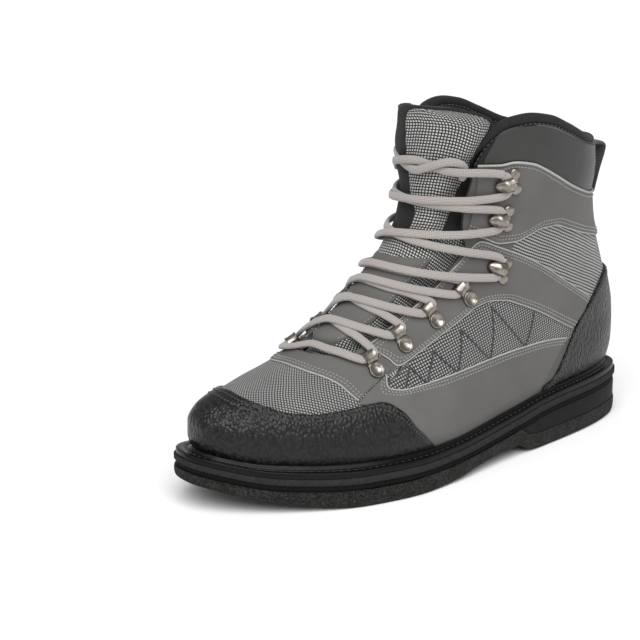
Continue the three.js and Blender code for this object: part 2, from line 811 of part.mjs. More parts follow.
// Tongue: padded, sewn under the vamp and standing in the throat. Columns: up, half angle, thickness share
const tongueRows = [
  [0.25, 24, 0.45],
  [0.3, 30, 0.5],
  [0.36, 38, 0.6],
  [0.44, 46, 0.75],
  [0.53, 53, 0.85],
  [0.62, 58, 0.9],
  [0.72, 57, 1],
  [0.83, 54, 1],
  [0.94, 53, 1.1],
  [1.05, 52, 1.2],
  [1.13, 46, 1.3],
  [1.165, 34, 1.1],
];
const tongueColumns = 8;
const tongueRise = 1.2;
const tongueRoom = 1.6;
const squeeze = { from: 0.88, over: 0.08 };
const underUpper = (up) => upperInner(up) - tongueRoom * (1 + smooth((up - squeeze.from) / squeeze.over));

// The tongue comes out from under the upper over these shares of the height and of its own half width
const opening = { from: throatBottom + 0.004, over: 0.036, sideFrom: 0.02, sideOver: 0.4 };

function tongueOffset(across, up) {
  const edge = (180 - throatAngle(up)) / tongueHalf(up);
  const atSide = smooth((edge + opening.sideFrom - Math.abs(across)) / opening.sideOver);
  const open = smooth((up - opening.from) / opening.over) * atSide;
  return underUpper(up) * (1 - open) + tongueRise * open;
}

const tongueHalf = curve(tongueRows, 1);
const tongueShare = curve(tongueRows, 2);
function tongueGrid(isOuter) {
  return tongueRows.map(([up]) =>
    Array.from({ length: tongueColumns + 1 }, (_, i) => {
      const across = -1 + (2 * i) / tongueColumns;
      const thin = 1 - 0.5 * Math.abs(across) ** 3;
      const depth = isOuter ? 0 : tongueThickness * tongueShare(up) * thin;
      return surfacePoint(180 + across * tongueHalf(up), up, tongueOffset(across, up) - depth);
    }),
  );
}
add('tongue', wallSolid(tongueGrid(true), tongueGrid(false), () => true, false), materials.neoprene);

// Pull loop: a strip of webbing sewn to the back, low down and again just below the collar's binding.
// Columns: behind the back (share of loopReach), up (share of upperHeight)
const loopReach = 11;
const loopRoute = [
  [-0.02, 0.75],
  [0.22, 0.785],
  [0.6, 0.85],
  [0.95, 0.912],
  [1, 0.938],
  [0.78, 0.952],
  [0.3, 0.951],
  [-0.29, 0.944],
];
const loopCurve = new THREE.CatmullRomCurve3(
  loopRoute.map(([behind, up]) => {
    const back = lastPoint(0, Math.min(up, 0.9));
    const out = clearance + loopThickness / 2 + behind * loopReach;
    return new Vector3(back.x, back.y + out, lastPoint(0, up).z);
  }),
  false,
  'centripetal',
);
const loopSteps = 16;
const loopRings = Array.from({ length: loopSteps + 1 }, (_, i) => {
  const point = loopCurve.getPointAt(i / loopSteps);
  const along = loopCurve.getTangentAt(i / loopSteps);
  const out = new Vector3(1, 0, 0).cross(along).normalize();
  return [
    [-1, -1],
    [1, -1],
    [1, 1],
    [-1, 1],
  ].map(([x, y]) =>
    point
      .clone()
      .add(new Vector3((x * loopWidth) / 2, 0, 0))
      .addScaledVector(out, (y * loopThickness) / 2),
  );
});
add('pull_loop', sweep(loopRings), materials.webbing);

// Eyelets: a rivet ring joined to a tunnel that the lace runs through.
// Columns: rivet angle, rivet up, tunnel angle, tunnel up
const eyeletPlaces = [
  [131, 0.302, 140.9, 0.342],
  [129.4, 0.366, 136.6, 0.401],
  [123.1, 0.428, 130.4, 0.468],
  [113.2, 0.483, 121, 0.525],
];

// Axes at a place: z off the surface, y towards another place
function aimedFrame(angle, up, aimAngle, aimUp, off) {
  const z = lastNormal(angle, up);
  const aim = lastPoint(aimAngle, aimUp).sub(lastPoint(angle, up));
  const x = aim.cross(z).normalize();
  const y = z.clone().cross(x);
  return new THREE.Matrix4().makeBasis(x, y, z).setPosition(surfacePoint(angle, up, off));
}

function prism(outline, width) {
  const shape = new THREE.Shape(outline.map(([x, y]) => new THREE.Vector2(x, y)));
  const extruded = new THREE.ExtrudeGeometry(shape, { depth: width, bevelEnabled: false, steps: 1 });
  const points = positionsOf(extruded).map((p) => new Vector3(p.z - width / 2, p.x, p.y));
  return closedGeometry(points, points.flatMap((_, i) => (i % 3 ? [] : [[i, i + 1, i + 2]])));
}

const archFacets = 4;
const tunnelDistance = rivetRadius + tunnelRadius - tunnelJoin;
const archPoint = (radius, k) => {
  const turn = (Math.PI * k) / archFacets;
  return [tunnelDistance + radius * Math.cos(turn), radius * Math.sin(turn)];
};
const archOutline = [
  ...Array.from({ length: archFacets + 1 }, (_, k) => archPoint(tunnelRadius, k)),
  ...Array.from({ length: archFacets + 1 }, (_, k) => archPoint(tunnelBore, archFacets - k)),
];

function eyeletSolid() {
  const disc = toManifold(post(rivetRadius, 0, rivetHeight, ringFacets));
  const bore = toManifold(post(rivetBore, -1, rivetHeight + 1, tubeFacets));
  return disc.add(toManifold(prism(archOutline, tunnelLength))).subtract(bore);
}

// Hooks: a riveted plate whose front runs on into an open curl.
// Profile columns: forward (share of hookReach), out (share of hookRise)
const hookOutline = [
  [-0.29, 0],
  [0.583, 0],
  [0.8, 0.176],
  [0.9, 0.5],
  [0.833, 0.824],
  [0.65, 1],
  [0.45, 0.97],
  [0.467, 0.794],
  [0.633, 0.809],
  [0.75, 0.706],
  [0.792, 0.5],
  [0.733, 0.294],
  [0.583, 0.176],
  [-0.29, 0.176],
].map(([forward, out]) => [forward * hookReach, out * hookRise]);
const curlMiddle = [0.55, 0.5];

function hookSolid() {
  const curl = toManifold(prism(hookOutline, hookWidth));
  const plate = new THREE.BoxGeometry(hookPlateHeight, hookWidth, hookThickness);
  plate.translate(0, 0, hookThickness / 2);
  plate.deleteAttribute('normal');
  plate.deleteAttribute('uv');
  const base = toManifold(closedGeometry(positionsOf(plate), indexTriples(plate)));
  const stud = (x) =>
    toManifold(post(studRadius, hookThickness / 2, studHeight, studFacets).translate(x, 0, 0));
  const studPlace = hookPlateHeight / 2 - studRadius - studMargin;
  return curl.add(base).add(stud(-studPlace)).add(stud(studPlace));
}

// Columns: angle, up, angle and up that the hook points to
const hookPlaces = [
  { name: 'lock_hook', place: [102.5, 0.56, 114, 0.595] },
  { name: 'speed_hook_low', place: [112, 0.755, 122, 0.757] },
  { name: 'speed_hook_high', place: [112.3, 0.899, 122, 0.886] },
];

const hardwareOff = 1.4 * clearance;
const hookOff = 2 * clearance;
const mirrored = (isMedial, [angle, up, aimAngle, aimUp]) =>
  isMedial ? [fullTurn - angle, up, fullTurn - aimAngle, aimUp] : [angle, up, aimAngle, aimUp];

// Each holder's frame, and the middle of the lace inside it: forward, out, half the holder's length
const holders = [
  ...eyeletPlaces.map((place, i) => ({
    name: (side) => `eyelet_${side}_${i + 1}`,
    solid: eyeletSolid,
    place,
    off: hardwareOff,
    bend: [tunnelLength / 2, tunnelDistance, tunnelBore / 2],
  })),
  ...hookPlaces.map(({ name, place }) => ({
    name: (side) => `${name}_${side}`,
    solid: hookSolid,
    place,
    off: hookOff,
    bend: [hookWidth / 2, curlMiddle[0] * hookReach, curlMiddle[1] * hookRise],
  })),
];
const frameOf = (holder, isMedial) => aimedFrame(...mirrored(isMedial, holder.place), holder.off);
['lateral', 'medial'].forEach((side) => {
  holders.forEach((holder) => {
    const geometry = fromManifold(holder.solid()).applyMatrix4(frameOf(holder, side === 'medial'));
    add(holder.name(side), geometry, materials.metal);
  });
});

// The angle, height and offset of a point near the lasted surface, from a first guess
function placeOf(point, [firstAngle, firstUp]) {
  const [turnStep, riseStep] = [0.5, 0.003];
  let [angle, up] = [firstAngle, firstUp];
  for (let pass = 0; pass < 8; pass += 1) {
    const miss = point.clone().sub(lastPoint(angle, up));
    const turn = lastPoint(angle + turnStep, up).sub(lastPoint(angle - turnStep, up));
    turn.divideScalar(2 * turnStep);
    const rise = lastPoint(angle, up + riseStep).sub(lastPoint(angle, up - riseStep));
    rise.divideScalar(2 * riseStep);
    const [aa, ab, bb] = [turn.dot(turn), turn.dot(rise), rise.dot(rise)];
    const [am, bm] = [turn.dot(miss), rise.dot(miss)];
    const scale = aa * bb - ab * ab;
    angle += (bb * am - ab * bm) / scale;
    up += (aa * bm - ab * am) / scale;
  }
  return [angle, up, point.clone().sub(lastPoint(angle, up)).dot(lastNormal(angle, up))];
}

// Where the lace leaves a holder: at its upper or its lower mouth, on the throat's side
function mouth(level, isMedial, isUpper) {
  const holder = holders[level];
  const frame = frameOf(holder, isMedial);
  const [half, forward, out] = holder.bend;
  const ends = [-1, 1].map((way) =>
    new Vector3(way * (half + laceWidth / 2 + mouthRoom), forward + mouthStep, out).applyMatrix4(frame),
  );
  ends.sort((a, b) => a.z - b.z);
  const [, , aimAngle, aimUp] = mirrored(isMedial, holder.place);
  return placeOf(isUpper ? ends[1] : ends[0], [aimAngle, aimUp]);
}

// Lace: strands over the tongue from one holder to the next
const mouthStep = 4;
const mouthRoom = 0.9;
const laceSteps = 6;
const strandEnd = 0.35;
const laceLow = tongueRise + laceRoom + laceThickness / 2;
const lacePress = 0.2;
const laceHigh = laceLow + laceThickness - lacePress;

// How far a strand's middle stands above its ends, because it takes the short way over the instep.
// Columns: up, rise
const laceBow = curve(
  [
    [0.36, 0.042],
    [0.5, 0.042],
    [0.62, 0.028],
    [0.78, 0.006],
    [1, 0],
  ],
  1,
);

function strand(from, to, middleOff) {
  const placeAt = (t) => {
    const [angle, up, off] = [0, 1, 2].map((k) => THREE.MathUtils.lerp(from[k], to[k], t));
    const inside = smooth(Math.min(t, 1 - t) / strandEnd);
    return [angle, up + laceBow(up) * Math.sin(Math.PI * t), off * (1 - inside) + middleOff * inside];
  };
  const drawn = (t) => surfacePoint(...placeAt(THREE.MathUtils.clamp(t, 0, 1)));
  const rings = Array.from({ length: laceSteps + 1 }, (_, i) => {
    const t = i / laceSteps;
    const [angle, up] = placeAt(t);
    const along = drawn(t + 0.05).sub(drawn(t - 0.05));
    const across = along.clone().cross(lastNormal(angle, up)).normalize();
    const out = across.clone().cross(along).normalize();
    return [
      [-1, -1],
      [1, -1],
      [1, 1],
      [-1, 1],
    ].map(([x, y]) =>
      drawn(t)
        .addScaledVector(across, (x * laceWidth) / 2)
        .addScaledVector(out, (y * laceThickness) / 2),
    );
  });
  return sweep(rings);
}

const barSag = 2.9;
add('lace_bar', strand(mouth(0, false, false), mouth(0, true, false), laceLow - barSag), materials.lace);
for (let level = 0; level < holders.length - 1; level += 1) {
  const under = strand(mouth(level, false, true), mouth(level + 1, true, false), laceLow);
  const over = strand(mouth(level, true, true), mouth(level + 1, false, false), laceHigh);
  add(`lace_crossing_${level + 1}`, fromManifold(toManifold(under).add(toManifold(over))), materials.lace);
}

// The lace's two ends: from the top hooks to a half knot, then tucked in. Columns: angle, up, off the surface
const lateralEnd = [
  [119.5, 0.938, 4.2],
  [125, 0.944, 4.4],
  [132, 0.947, 4.8],
  [139, 0.948, 5.6],
  [146, 0.949, 5.4],
  [152, 0.952, 4.2],
  [157.5, 0.96, 3.1],
  [163, 0.972, 3.2],
  [170, 0.981, 3.7],
  [178, 0.981, 4.8],
  [187, 0.972, 5.9],
  [196, 0.959, 5.1],
  [204, 0.941, 3.8],
  [209, 0.921, 3.2],
];
const medialEnd = [
  [240.5, 0.938, 4.2],
  [232, 0.955, 3.9],
  [220, 0.975, 3.5],
  [209, 0.986, 3.3],
  [199, 0.982, 3.1],
  [189, 0.964, 3],
  [180, 0.951, 3.2],
  [171, 0.946, 4.9],
  [163, 0.96, 5.8],
  [157, 0.975, 6.2],
  [150, 0.987, 5.4],
  [143.5, 0.982, 4],
  [140.5, 0.965, 2.6],
  [140.6, 0.94, 1.9],
  [141.4, 0.912, 1.9],
];
const endSteps = 15;

function laceEnd(route) {
  const path = new THREE.CatmullRomCurve3(
    route.map(([angle, up, off]) => surfacePoint(angle, up, off)),
    false,
    'centripetal',
  );
  const out = new THREE.CatmullRomCurve3(route.map(([angle, up]) => lastNormal(angle, up)));
  const shares = Array.from({ length: endSteps + 1 }, (_, i) => i / endSteps);
  const outAxes = shares.map((t) => {
    const along = path.getTangent(t);
    const normal = out.getPoint(t);
    return normal.addScaledVector(along, -normal.dot(along)).normalize();
  });
  const acrossAxes = shares.map((t, i) => path.getTangent(t).cross(outAxes[i]).normalize());
  return tube(shares.map((t) => path.getPoint(t)), acrossAxes, outAxes, laceWidth, laceThickness);
}
add('lace_end_lateral', laceEnd(lateralEnd), materials.lace);
add('lace_end_medial', laceEnd(medialEnd), materials.lace);

export default boot;
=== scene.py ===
# A left wading boot with a felt sole, made in the order in which a boot maker puts it together.
# Metres, +Z up. The toe points to -Y and the outer side of the foot is +X. The upper is laid on a last: a
# point on it is an angle in degrees round from the heel's back and a share of the upper's height, the outer
# side first.
import math

import bpy
import numpy as np
from mathutils import Matrix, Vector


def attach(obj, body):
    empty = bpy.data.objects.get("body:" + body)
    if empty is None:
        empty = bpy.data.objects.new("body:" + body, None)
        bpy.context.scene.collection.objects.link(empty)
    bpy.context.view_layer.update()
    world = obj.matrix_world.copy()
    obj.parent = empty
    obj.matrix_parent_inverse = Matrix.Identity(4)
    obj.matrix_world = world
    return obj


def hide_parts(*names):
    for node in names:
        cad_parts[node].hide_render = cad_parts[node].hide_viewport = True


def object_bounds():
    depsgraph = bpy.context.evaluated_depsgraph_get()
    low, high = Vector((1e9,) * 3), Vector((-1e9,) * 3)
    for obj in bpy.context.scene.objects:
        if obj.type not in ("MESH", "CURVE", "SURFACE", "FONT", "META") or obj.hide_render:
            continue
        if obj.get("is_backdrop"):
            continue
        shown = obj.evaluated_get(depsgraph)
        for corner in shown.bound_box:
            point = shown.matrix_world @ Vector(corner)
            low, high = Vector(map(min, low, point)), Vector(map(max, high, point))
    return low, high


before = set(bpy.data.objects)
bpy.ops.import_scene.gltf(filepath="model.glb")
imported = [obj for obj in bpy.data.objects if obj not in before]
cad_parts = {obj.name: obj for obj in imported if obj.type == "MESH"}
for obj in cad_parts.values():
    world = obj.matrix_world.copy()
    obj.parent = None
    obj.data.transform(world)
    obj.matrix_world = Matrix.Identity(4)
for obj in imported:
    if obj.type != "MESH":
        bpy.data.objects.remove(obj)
cad_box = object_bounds()

# Camera
# The boot is seen from its outer side and toe, a little above the floor, with a long lens. Its middle shows
# at the aim pixel of a square picture.
view_azimuth, view_elevation, view_roll = np.radians([50.0, 15.5, 1.0])
view_distance = 1.0
view_focal_pixels, frame_pixels = 1700.0, 640.0
aim_pixel = np.array([418.5, 307.5])


def turned_axes(azimuth, elevation, roll):
    """Right, up and back axes of a camera at an azimuth and elevation, rolled about its line of sight."""
    level = math.cos(elevation)
    back = np.array([math.sin(azimuth) * level, -math.cos(azimuth) * level, math.sin(elevation)])
    right = np.cross([0.0, 0.0, 1.0], back)
    right /= np.linalg.norm(right)
    up = np.cross(back, right)
    return right * math.cos(roll) + up * math.sin(roll), up * math.cos(roll) - right * math.sin(roll), back


def standing(right_way, up_way, back_way, place):
    """Matrix of a camera or a lamp with these axes at a place."""
    return Matrix(np.vstack([np.column_stack([right_way, up_way, back_way, place]), [0, 0, 0, 1]]).tolist())


boot_middle = np.array([-0.00017771, 0.0, 0.090])
right, upward, back = turned_axes(view_azimuth, view_elevation, view_roll)
camera_data = bpy.data.cameras.new("camera")
camera = bpy.data.objects.new("camera", camera_data)
bpy.context.scene.collection.objects.link(camera)
camera.matrix_world = standing(right, upward, back, boot_middle + back * view_distance)
camera_data.sensor_width = 36.0
camera_data.lens = 36.0 * view_focal_pixels / frame_pixels
camera_data.shift_x = (frame_pixels / 2 - aim_pixel[0]) / frame_pixels
camera_data.shift_y = (aim_pixel[1] - frame_pixels / 2) / frame_pixels
bpy.context.scene.camera = camera

# Felt outsole
# A slab of pressed recycled fibre, black with paler fibres in it, cemented under the midsole from heel to
# toe. Its edge is sanded square, its lower rim is a little worn round.
sole_length, sole_width = 0.320, 0.118
felt_thickness, midsole_thickness, wedge_height = 0.010, 0.0075, 0.0115
arch_rise, toe_spring, toe_swing = 0.0065, 0.017, 0.007
heel_roundness, toe_roundness = 2.5, 2.35
# Columns: along, outer and inner half width as shares of the sole's width
sole_outline = [
    (0, 0.33, 0.33), (0.1, 0.34, 0.34), (0.25, 0.355, 0.335), (0.4, 0.395, 0.325), (0.55, 0.465, 0.395),
    (0.66, 0.5, 0.475), (0.74, 0.495, 0.5), (0.84, 0.455, 0.49), (0.93, 0.4, 0.45), (1, 0.36, 0.42),
]
# Columns: along, arch lift, toe lift, wedge, top lift, midsole, each a share of its own size
sole_profile = [
    (0, 0, 0, 1, 0, 1), (0.2, 0, 0, 0.957, 0, 1), (0.3, 0, 0, 0.78, 0, 1), (0.335, 0.31, 0, 0.64, 0, 1),
    (0.36, 1, 0, 0.55, 0, 1), (0.45, 0.85, 0, 0.26, 0, 1), (0.55, 0.19, 0, 0.06, 0, 1),
    (0.62, 0, 0, 0, 0, 1), (0.74, 0, 0, 0, 0, 1), (0.88, 0, 0.37, 0, 0.176, 0.97),
    (1, 0, 1, 0, 0.706, 0.87),
]


def hermite(xs, ys, x):
    """Monotone cubic through knots. A slope is a weighted harmonic mean of the rises beside it."""
    xs, ys = np.asarray(xs, float), np.asarray(ys, float)
    x = np.clip(np.asarray(x, float), xs[0], xs[-1])
    lift = (slice(None),) + (None,) * (ys.ndim - 1)
    steps = np.diff(xs)[lift]
    rises = np.diff(ys, axis=0) / steps
    before, after = 2 * steps[1:] + steps[:-1], steps[1:] + 2 * steps[:-1]
    same = rises[:-1] * rises[1:] > 0
    safe = np.where(same, rises[:-1] * rises[1:], 1.0)
    inner = np.where(
        same, (before + after) * safe / (before * rises[1:] + after * rises[:-1] + (~same)), 0.0
    )
    slopes = np.concatenate([rises[:1], inner, rises[-1:]])
    i = np.clip(np.searchsorted(xs, x, side="right") - 1, 0, len(xs) - 2)
    t = (x - xs[i]) / (xs[i + 1] - xs[i])
    if ys.ndim > 1:
        pick = lambda rows, k: np.take_along_axis(rows, k[None], axis=0)[0]
    else:
        pick = lambda rows, k: rows[k]
    ease = t * t * (3 - 2 * t)
    bend = t * (1 - t) ** 2 * pick(slopes, i) + t * t * (t - 1) * pick(slopes, i + 1)
    return pick(ys, i) * (1 - ease) + pick(ys, i + 1) * ease + bend * (xs[i + 1] - xs[i])


def column(rows, k):
    """A table's column as a function of its first column."""
    return lambda x: hermite([row[0] for row in rows], [row[k] for row in rows], x)


def swing(along):
    """Sideways bend of the forefoot towards the inner side, as the square of the way past the waist."""
    return -toe_swing * np.clip((along - 0.45) / 0.55, 0, 1) ** 2


def sole_column(k, size):
    """One lift of the sole's side view, in metres."""
    return lambda along: size * column(sole_profile, k)(along)


arch_lift, toe_lift = sole_column(1, arch_rise), sole_column(2, toe_spring)
wedge_lift, top_lift = sole_column(3, wedge_height), sole_column(4, toe_spring)
midsole_depth = sole_column(5, midsole_thickness)


def midsole_top(along):
    """Height of the midsole's top: felt, midsole, wedge and toe lift on each other."""
    return felt_thickness + midsole_thickness + wedge_lift(along) + top_lift(along)


def end_closing(c, exponent):
    """Half width of a superellipse's end at c, from 1 at its middle to 0 at its tip."""
    return np.maximum(1 - np.abs(c) ** exponent, 0) ** (1 / exponent)


def plan_point(angle):
    """Edge of the sole at degrees round from the heel's back: a superellipse with table half widths."""
    c = -np.cos(np.radians(angle))
    along = (c + 1) / 2
    closing = np.where(c < 0, end_closing(c, heel_roundness), end_closing(c, toe_roundness))
    outer = np.sin(np.radians(angle)) >= 0
    half = np.where(outer, column(sole_outline, 1)(along), -column(sole_outline, 2)(along))
    return np.stack([half * sole_width * closing + swing(along), sole_length * (0.5 - along)], axis=-1)


# The CAD model's width is centred on the facets of its own outline
cad_facets = plan_point(np.linspace(-180, 180, 49))[:, 0]
centre = (cad_facets.min() + cad_facets.max()) / 2


def unit(v):
    """Vectors at length 1."""
    return v / np.maximum(np.linalg.norm(v, axis=-1, keepdims=True), 1e-12)


def grid_quads(rows, cols, round_rows=False, round_cols=False):
    """Quads of a grid of points numbered row by row. It may close round its rows, its columns or both."""
    n = np.arange(rows * cols).reshape(rows, cols)
    n = np.concatenate([n, n[:1]]) if round_rows else n
    n = np.concatenate([n, n[:, :1]], axis=1) if round_cols else n
    return np.stack([n[:-1, :-1], n[:-1, 1:], n[1:, 1:], n[1:, :-1]], -1).reshape(-1, 4)


def end_quads(first, count):
    """Quads across a closed ring of points numbered from first: strips between its two halves."""
    k = np.arange(count // 2)
    return first + np.stack([k, (-k) % count, (-k - 1) % count, (k + 1) % count], -1)


def turned_out(points, faces):
    """Quads turned so that the volume inside them is positive: a sum of triple products of their corners."""
    a, b, c, d = (points[faces[:, k]] for k in range(4))
    volume = np.einsum("ij,ij->i", a, np.cross(b, c)) + np.einsum("ij,ij->i", a, np.cross(c, d))
    return faces if volume.sum() >= 0 else faces[:, ::-1]


def mesh_object(name, points, faces, uv=None, which=None):
    """A mesh object from quads, turned outwards. A quad with a repeated corner is a triangle."""
    used, packed = np.unique(faces, return_inverse=True)
    points, faces = points[used], packed.reshape(faces.shape)
    uv = None if uv is None else uv[used]
    which = np.zeros(len(faces), int) if which is None else which
    faces = turned_out(points, faces)
    first, last = faces[:, 0] == faces[:, 1], faces[:, 2] == faces[:, 3]
    three = first | last
    quads = faces[~three]
    triangles = np.where(first[three, None], faces[three][:, [1, 2, 3]], faces[three][:, [0, 1, 2]])
    loops = np.concatenate([quads.ravel(), triangles.ravel()])
    starts = np.concatenate([np.arange(len(quads)) * 4, len(quads) * 4 + np.arange(len(triangles)) * 3])
    made = bpy.data.meshes.new(name)
    made.vertices.add(len(points))
    made.vertices.foreach_set("co", points.astype(np.float32).ravel())
    made.loops.add(len(loops))
    made.loops.foreach_set("vertex_index", loops.astype(np.int32))
    made.polygons.add(len(starts))
    made.polygons.foreach_set("loop_start", starts.astype(np.int32))
    made.polygons.foreach_set("use_smooth", np.ones(len(starts), bool))
    made.polygons.foreach_set(
        "material_index", np.concatenate([which[~three], which[three]]).astype(np.int32)
    )
    if uv is not None:
        made.uv_layers.new(name="surface").data.foreach_set("uv", uv[loops].astype(np.float32).ravel())
    made.update(calc_edges=True)
    made.set_sharp_from_angle(angle=math.radians(48))
    piece = bpy.data.objects.new(name, made)
    bpy.context.scene.collection.objects.link(piece)
    return piece


def fit(piece, finishes, slot, *nodes):
    """Gives a piece its materials, lets it ride on the boot and stand for its CAD nodes. Its slot is not
    used.
    """
    for finish in finishes if isinstance(finishes, (list, tuple)) else [finishes]:
        piece.data.materials.append(finish)
    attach(piece, "root")
    if nodes:
        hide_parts(*nodes)
    return piece


def new_finish(name, color, roughness, sheen=0.0, metallic=0.0, specular=0.3):
    """A material whose shader sockets hold its even values, with a short way to add nodes to it."""
    material = bpy.data.materials.new(name)
    material.use_nodes = True
    tree = material.node_tree
    shader = tree.nodes["Principled BSDF"]
    shader.inputs["Base Color"].default_value = (*color, 1)
    shader.inputs["Roughness"].default_value = roughness
    shader.inputs["Metallic"].default_value = metallic
    shader.inputs["Sheen Weight"].default_value = sheen
    shader.inputs["Sheen Roughness"].default_value = 0.6
    shader.inputs["Specular IOR Level"].default_value = specular

    def node(kind, inputs=None, output=0, **settings):
        made = tree.nodes.new(kind)
        for key, value in settings.items():
            setattr(made, key, value)
        for key, value in (inputs or {}).items():
            if isinstance(value, bpy.types.NodeSocket):
                tree.links.new(value, made.inputs[key])
            else:
                made.inputs[key].default_value = value
        return made.outputs[output]

    def use(socket, value):
        tree.links.new(value, shader.inputs[socket])

    return material, node, use


def mixed(node, share, low, high):
    """A colour between two, by a share from 0 to 1."""
    return node("ShaderNodeMix", {0: share, 6: (*low, 1), 7: (*high, 1)}, 2, data_type="RGBA")


def ranged(node, value, low, high, to_low=0.0, to_high=1.0):
    """A value brought from one range to another, and held inside it."""
    return node("ShaderNodeMapRange", {0: value, 1: low, 2: high, 3: to_low, 4: to_high})


def spots(node, scale, detail=2.0, roughness=0.5, place=None):
    """Noise with so many spots to the metre, on the piece's own coordinates where no place is given."""
    place = node("ShaderNodeTexCoord", output=3) if place is None else place
    return node(
        "ShaderNodeTexNoise", {"Vector": place, "Scale": scale, "Detail": detail, "Roughness": roughness}
    )


def calc(node, operation, a, b=0.0, c=0.0):
    """One step of arithmetic."""
    return node("ShaderNodeMath", {0: a, 1: b, 2: c}, operation=operation)


def relief(node, use, height, distance, strength=1.0):
    """Bump of a height from 0 to 1, distance metres deep."""
    use("Normal", node("ShaderNodeBump", {"Height": height, "Distance": distance, "Strength": strength}))


felt, node, use = new_finish("pressed_felt", (0.02, 0.02, 0.019), 0.97, sheen=0.04, specular=0.06)
fibres = spots(node, 900.0, 4.0, 0.75)
clumps = spots(node, 160.0, 3.0, 0.6)
fibre_share = calc(
    node, "MULTIPLY", ranged(node, fibres, 0.42, 0.72), ranged(node, clumps, 0.3, 0.7, 0.35, 1.0)
)
use("Base Color", mixed(node, fibre_share, (0.006, 0.006, 0.006), (0.075, 0.072, 0.065)))
relief(node, use, fibres, 0.0009, 0.9)
sole_angles, spine_reach = np.linspace(0, 360, 241)[:-1], 0.9


def sole_edge(angle, inset, height):
    """The sole's outline moved in by inset, at the height that a surface of the sole has there."""
    step = plan_point(angle + 0.5) - plan_point(angle - 0.5)
    inwards = unit(np.stack([-step[..., 1], step[..., 0]], axis=-1))
    point = plan_point(angle)
    middle = np.stack(
        [swing(0.5 - point[..., 1] / sole_length) - point[..., 0], -0.8 * point[..., 1]], axis=-1
    )
    inwards *= np.sign(np.einsum("...i,...i->...", inwards, middle))[..., None]
    point = point + inwards * np.asarray(inset)[..., None]
    return np.concatenate(
        [point[..., :1] - centre, point[..., 1:], height(0.5 - point[..., 1:] / sole_length)], axis=-1
    )


def felt_under(along):
    """Underside of the felt: flat at heel and ball, lifted at arch and toe."""
    return arch_lift(along) + toe_lift(along)


def midsole_under(along):
    """Underside of the midsole."""
    return midsole_top(along) - midsole_depth(along)


def felt_top(along):
    """Top of the felt, pressed against the midsole or the heel wedge."""
    return np.minimum(felt_under(along) + felt_thickness, midsole_under(along))


def layer(name, rim, under, top):
    """A slab of the sole: rings down its edge from rows of (inset, share of depth), and fans across."""
    between = lambda share: lambda along: under(along) * (1 - share) + top(along) * share
    rings = np.stack([sole_edge(sole_angles, inset, between(share)) for inset, share in rim])
    fans = []
    for ring, share, order in ((rings[0], rim[0][1], -1), (rings[-1], rim[-1][1], 1)):
        spine = np.stack(
            [swing(0.5 - ring[:, 1] / sole_length) - centre, ring[:, 1] * spine_reach], axis=-1
        )
        t = np.linspace(0, 1, 15)[1:, None, None]
        flat = ring[:, :2] * (1 - t) + spine * t
        fans.append(
            np.concatenate([flat, between(share)(0.5 - flat[..., 1:] / sole_length)], axis=-1)[::order]
        )
    grid = np.concatenate([fans[0], rings, fans[1]])
    count, last_ring = grid.shape[1], grid[:-1, :, 0].size
    quads = [
        grid_quads(*grid.shape[:2], round_cols=True), end_quads(0, count)[:, ::-1],
        end_quads(last_ring, count)
    ]
    return mesh_object(name, grid.reshape(-1, 3), np.concatenate(quads))


felt_rim = [(0.0016, 0.0), (0.0008, 0.06), (0.0003, 0.2), (0.0, 0.5), (0.0, 0.8), (0.0003, 1.0)]
outsole = layer("felt_outsole", felt_rim, felt_under, felt_top)
fit(outsole, felt, "felt", "outsole_felt")

# Heel wedge
# A wedge of smooth dense rubber between felt and midsole. It is thickest under the heel's back and runs out
# to an edge at the breast, where the arch begins.
rubber, node, use = new_finish("wedge_rubber", (0.009, 0.009, 0.009), 0.6, specular=0.06)
scuffs = spots(node, 240.0, 5.0, 0.6)
use("Roughness", ranged(node, scuffs, 0.3, 0.7, 0.45, 0.68))
use("Base Color", mixed(node, ranged(node, scuffs, 0.4, 0.75), (0.009, 0.009, 0.009), (0.02, 0.02, 0.0195)))
relief(node, use, spots(node, 1400.0, 2.0), 0.00008, 0.6)
wedge_inset = 0.0006
wedge = layer(
    "rubber_wedge", [(0.0009, 0.0), (wedge_inset, 0.12), (wedge_inset, 0.88), (0.0009, 1.0)], felt_top,
    midsole_under
)
fit(wedge, rubber, "rubber", "heel_wedge")

# Midsole
# Two layers of foam rubber, the upper one lighter and standing a little proud of the lower one.
# Both are cut and ground to the outline of the sole.
def flecked(name, low, high, scale, depth, strength, detail=3.0, grit=0.5, span=(0.35, 0.65), **even):
    """A finish of two tones mixed by fine noise, whose high spots stand in relief."""
    finish, node, use = new_finish(name, high, **even)
    noise = spots(node, scale, detail, grit)
    use("Base Color", mixed(node, ranged(node, noise, *span), low, high))
    relief(node, use, noise, depth, strength)
    return finish


midsole_split = lambda along: midsole_under(along) + midsole_depth(along) * 0.5
for name, tone, under, top, inset, parts in (
    ("midsole_lower", 0.007, midsole_under, midsole_split, 0.0010, ("midsole",)),
    ("midsole_upper", 0.024, midsole_split, midsole_top, 0.0, ()),
):
    dark, light, ground = (tone * 0.75,) * 3, (tone * 1.3,) * 3, dict(
        detail=4.0, grit=0.65, span=(0.3, 0.7)
    )
    foam = flecked(name, dark, light, 500.0, 0.0002, 0.7, **ground, roughness=0.75, specular=0.06)
    rim = [(inset + 0.0004, 0.0), (inset, 0.12), (inset, 0.9), (inset + 0.0004, 1.0)]
    fit(layer(name, rim, under, top), foam, "midsole", *parts)

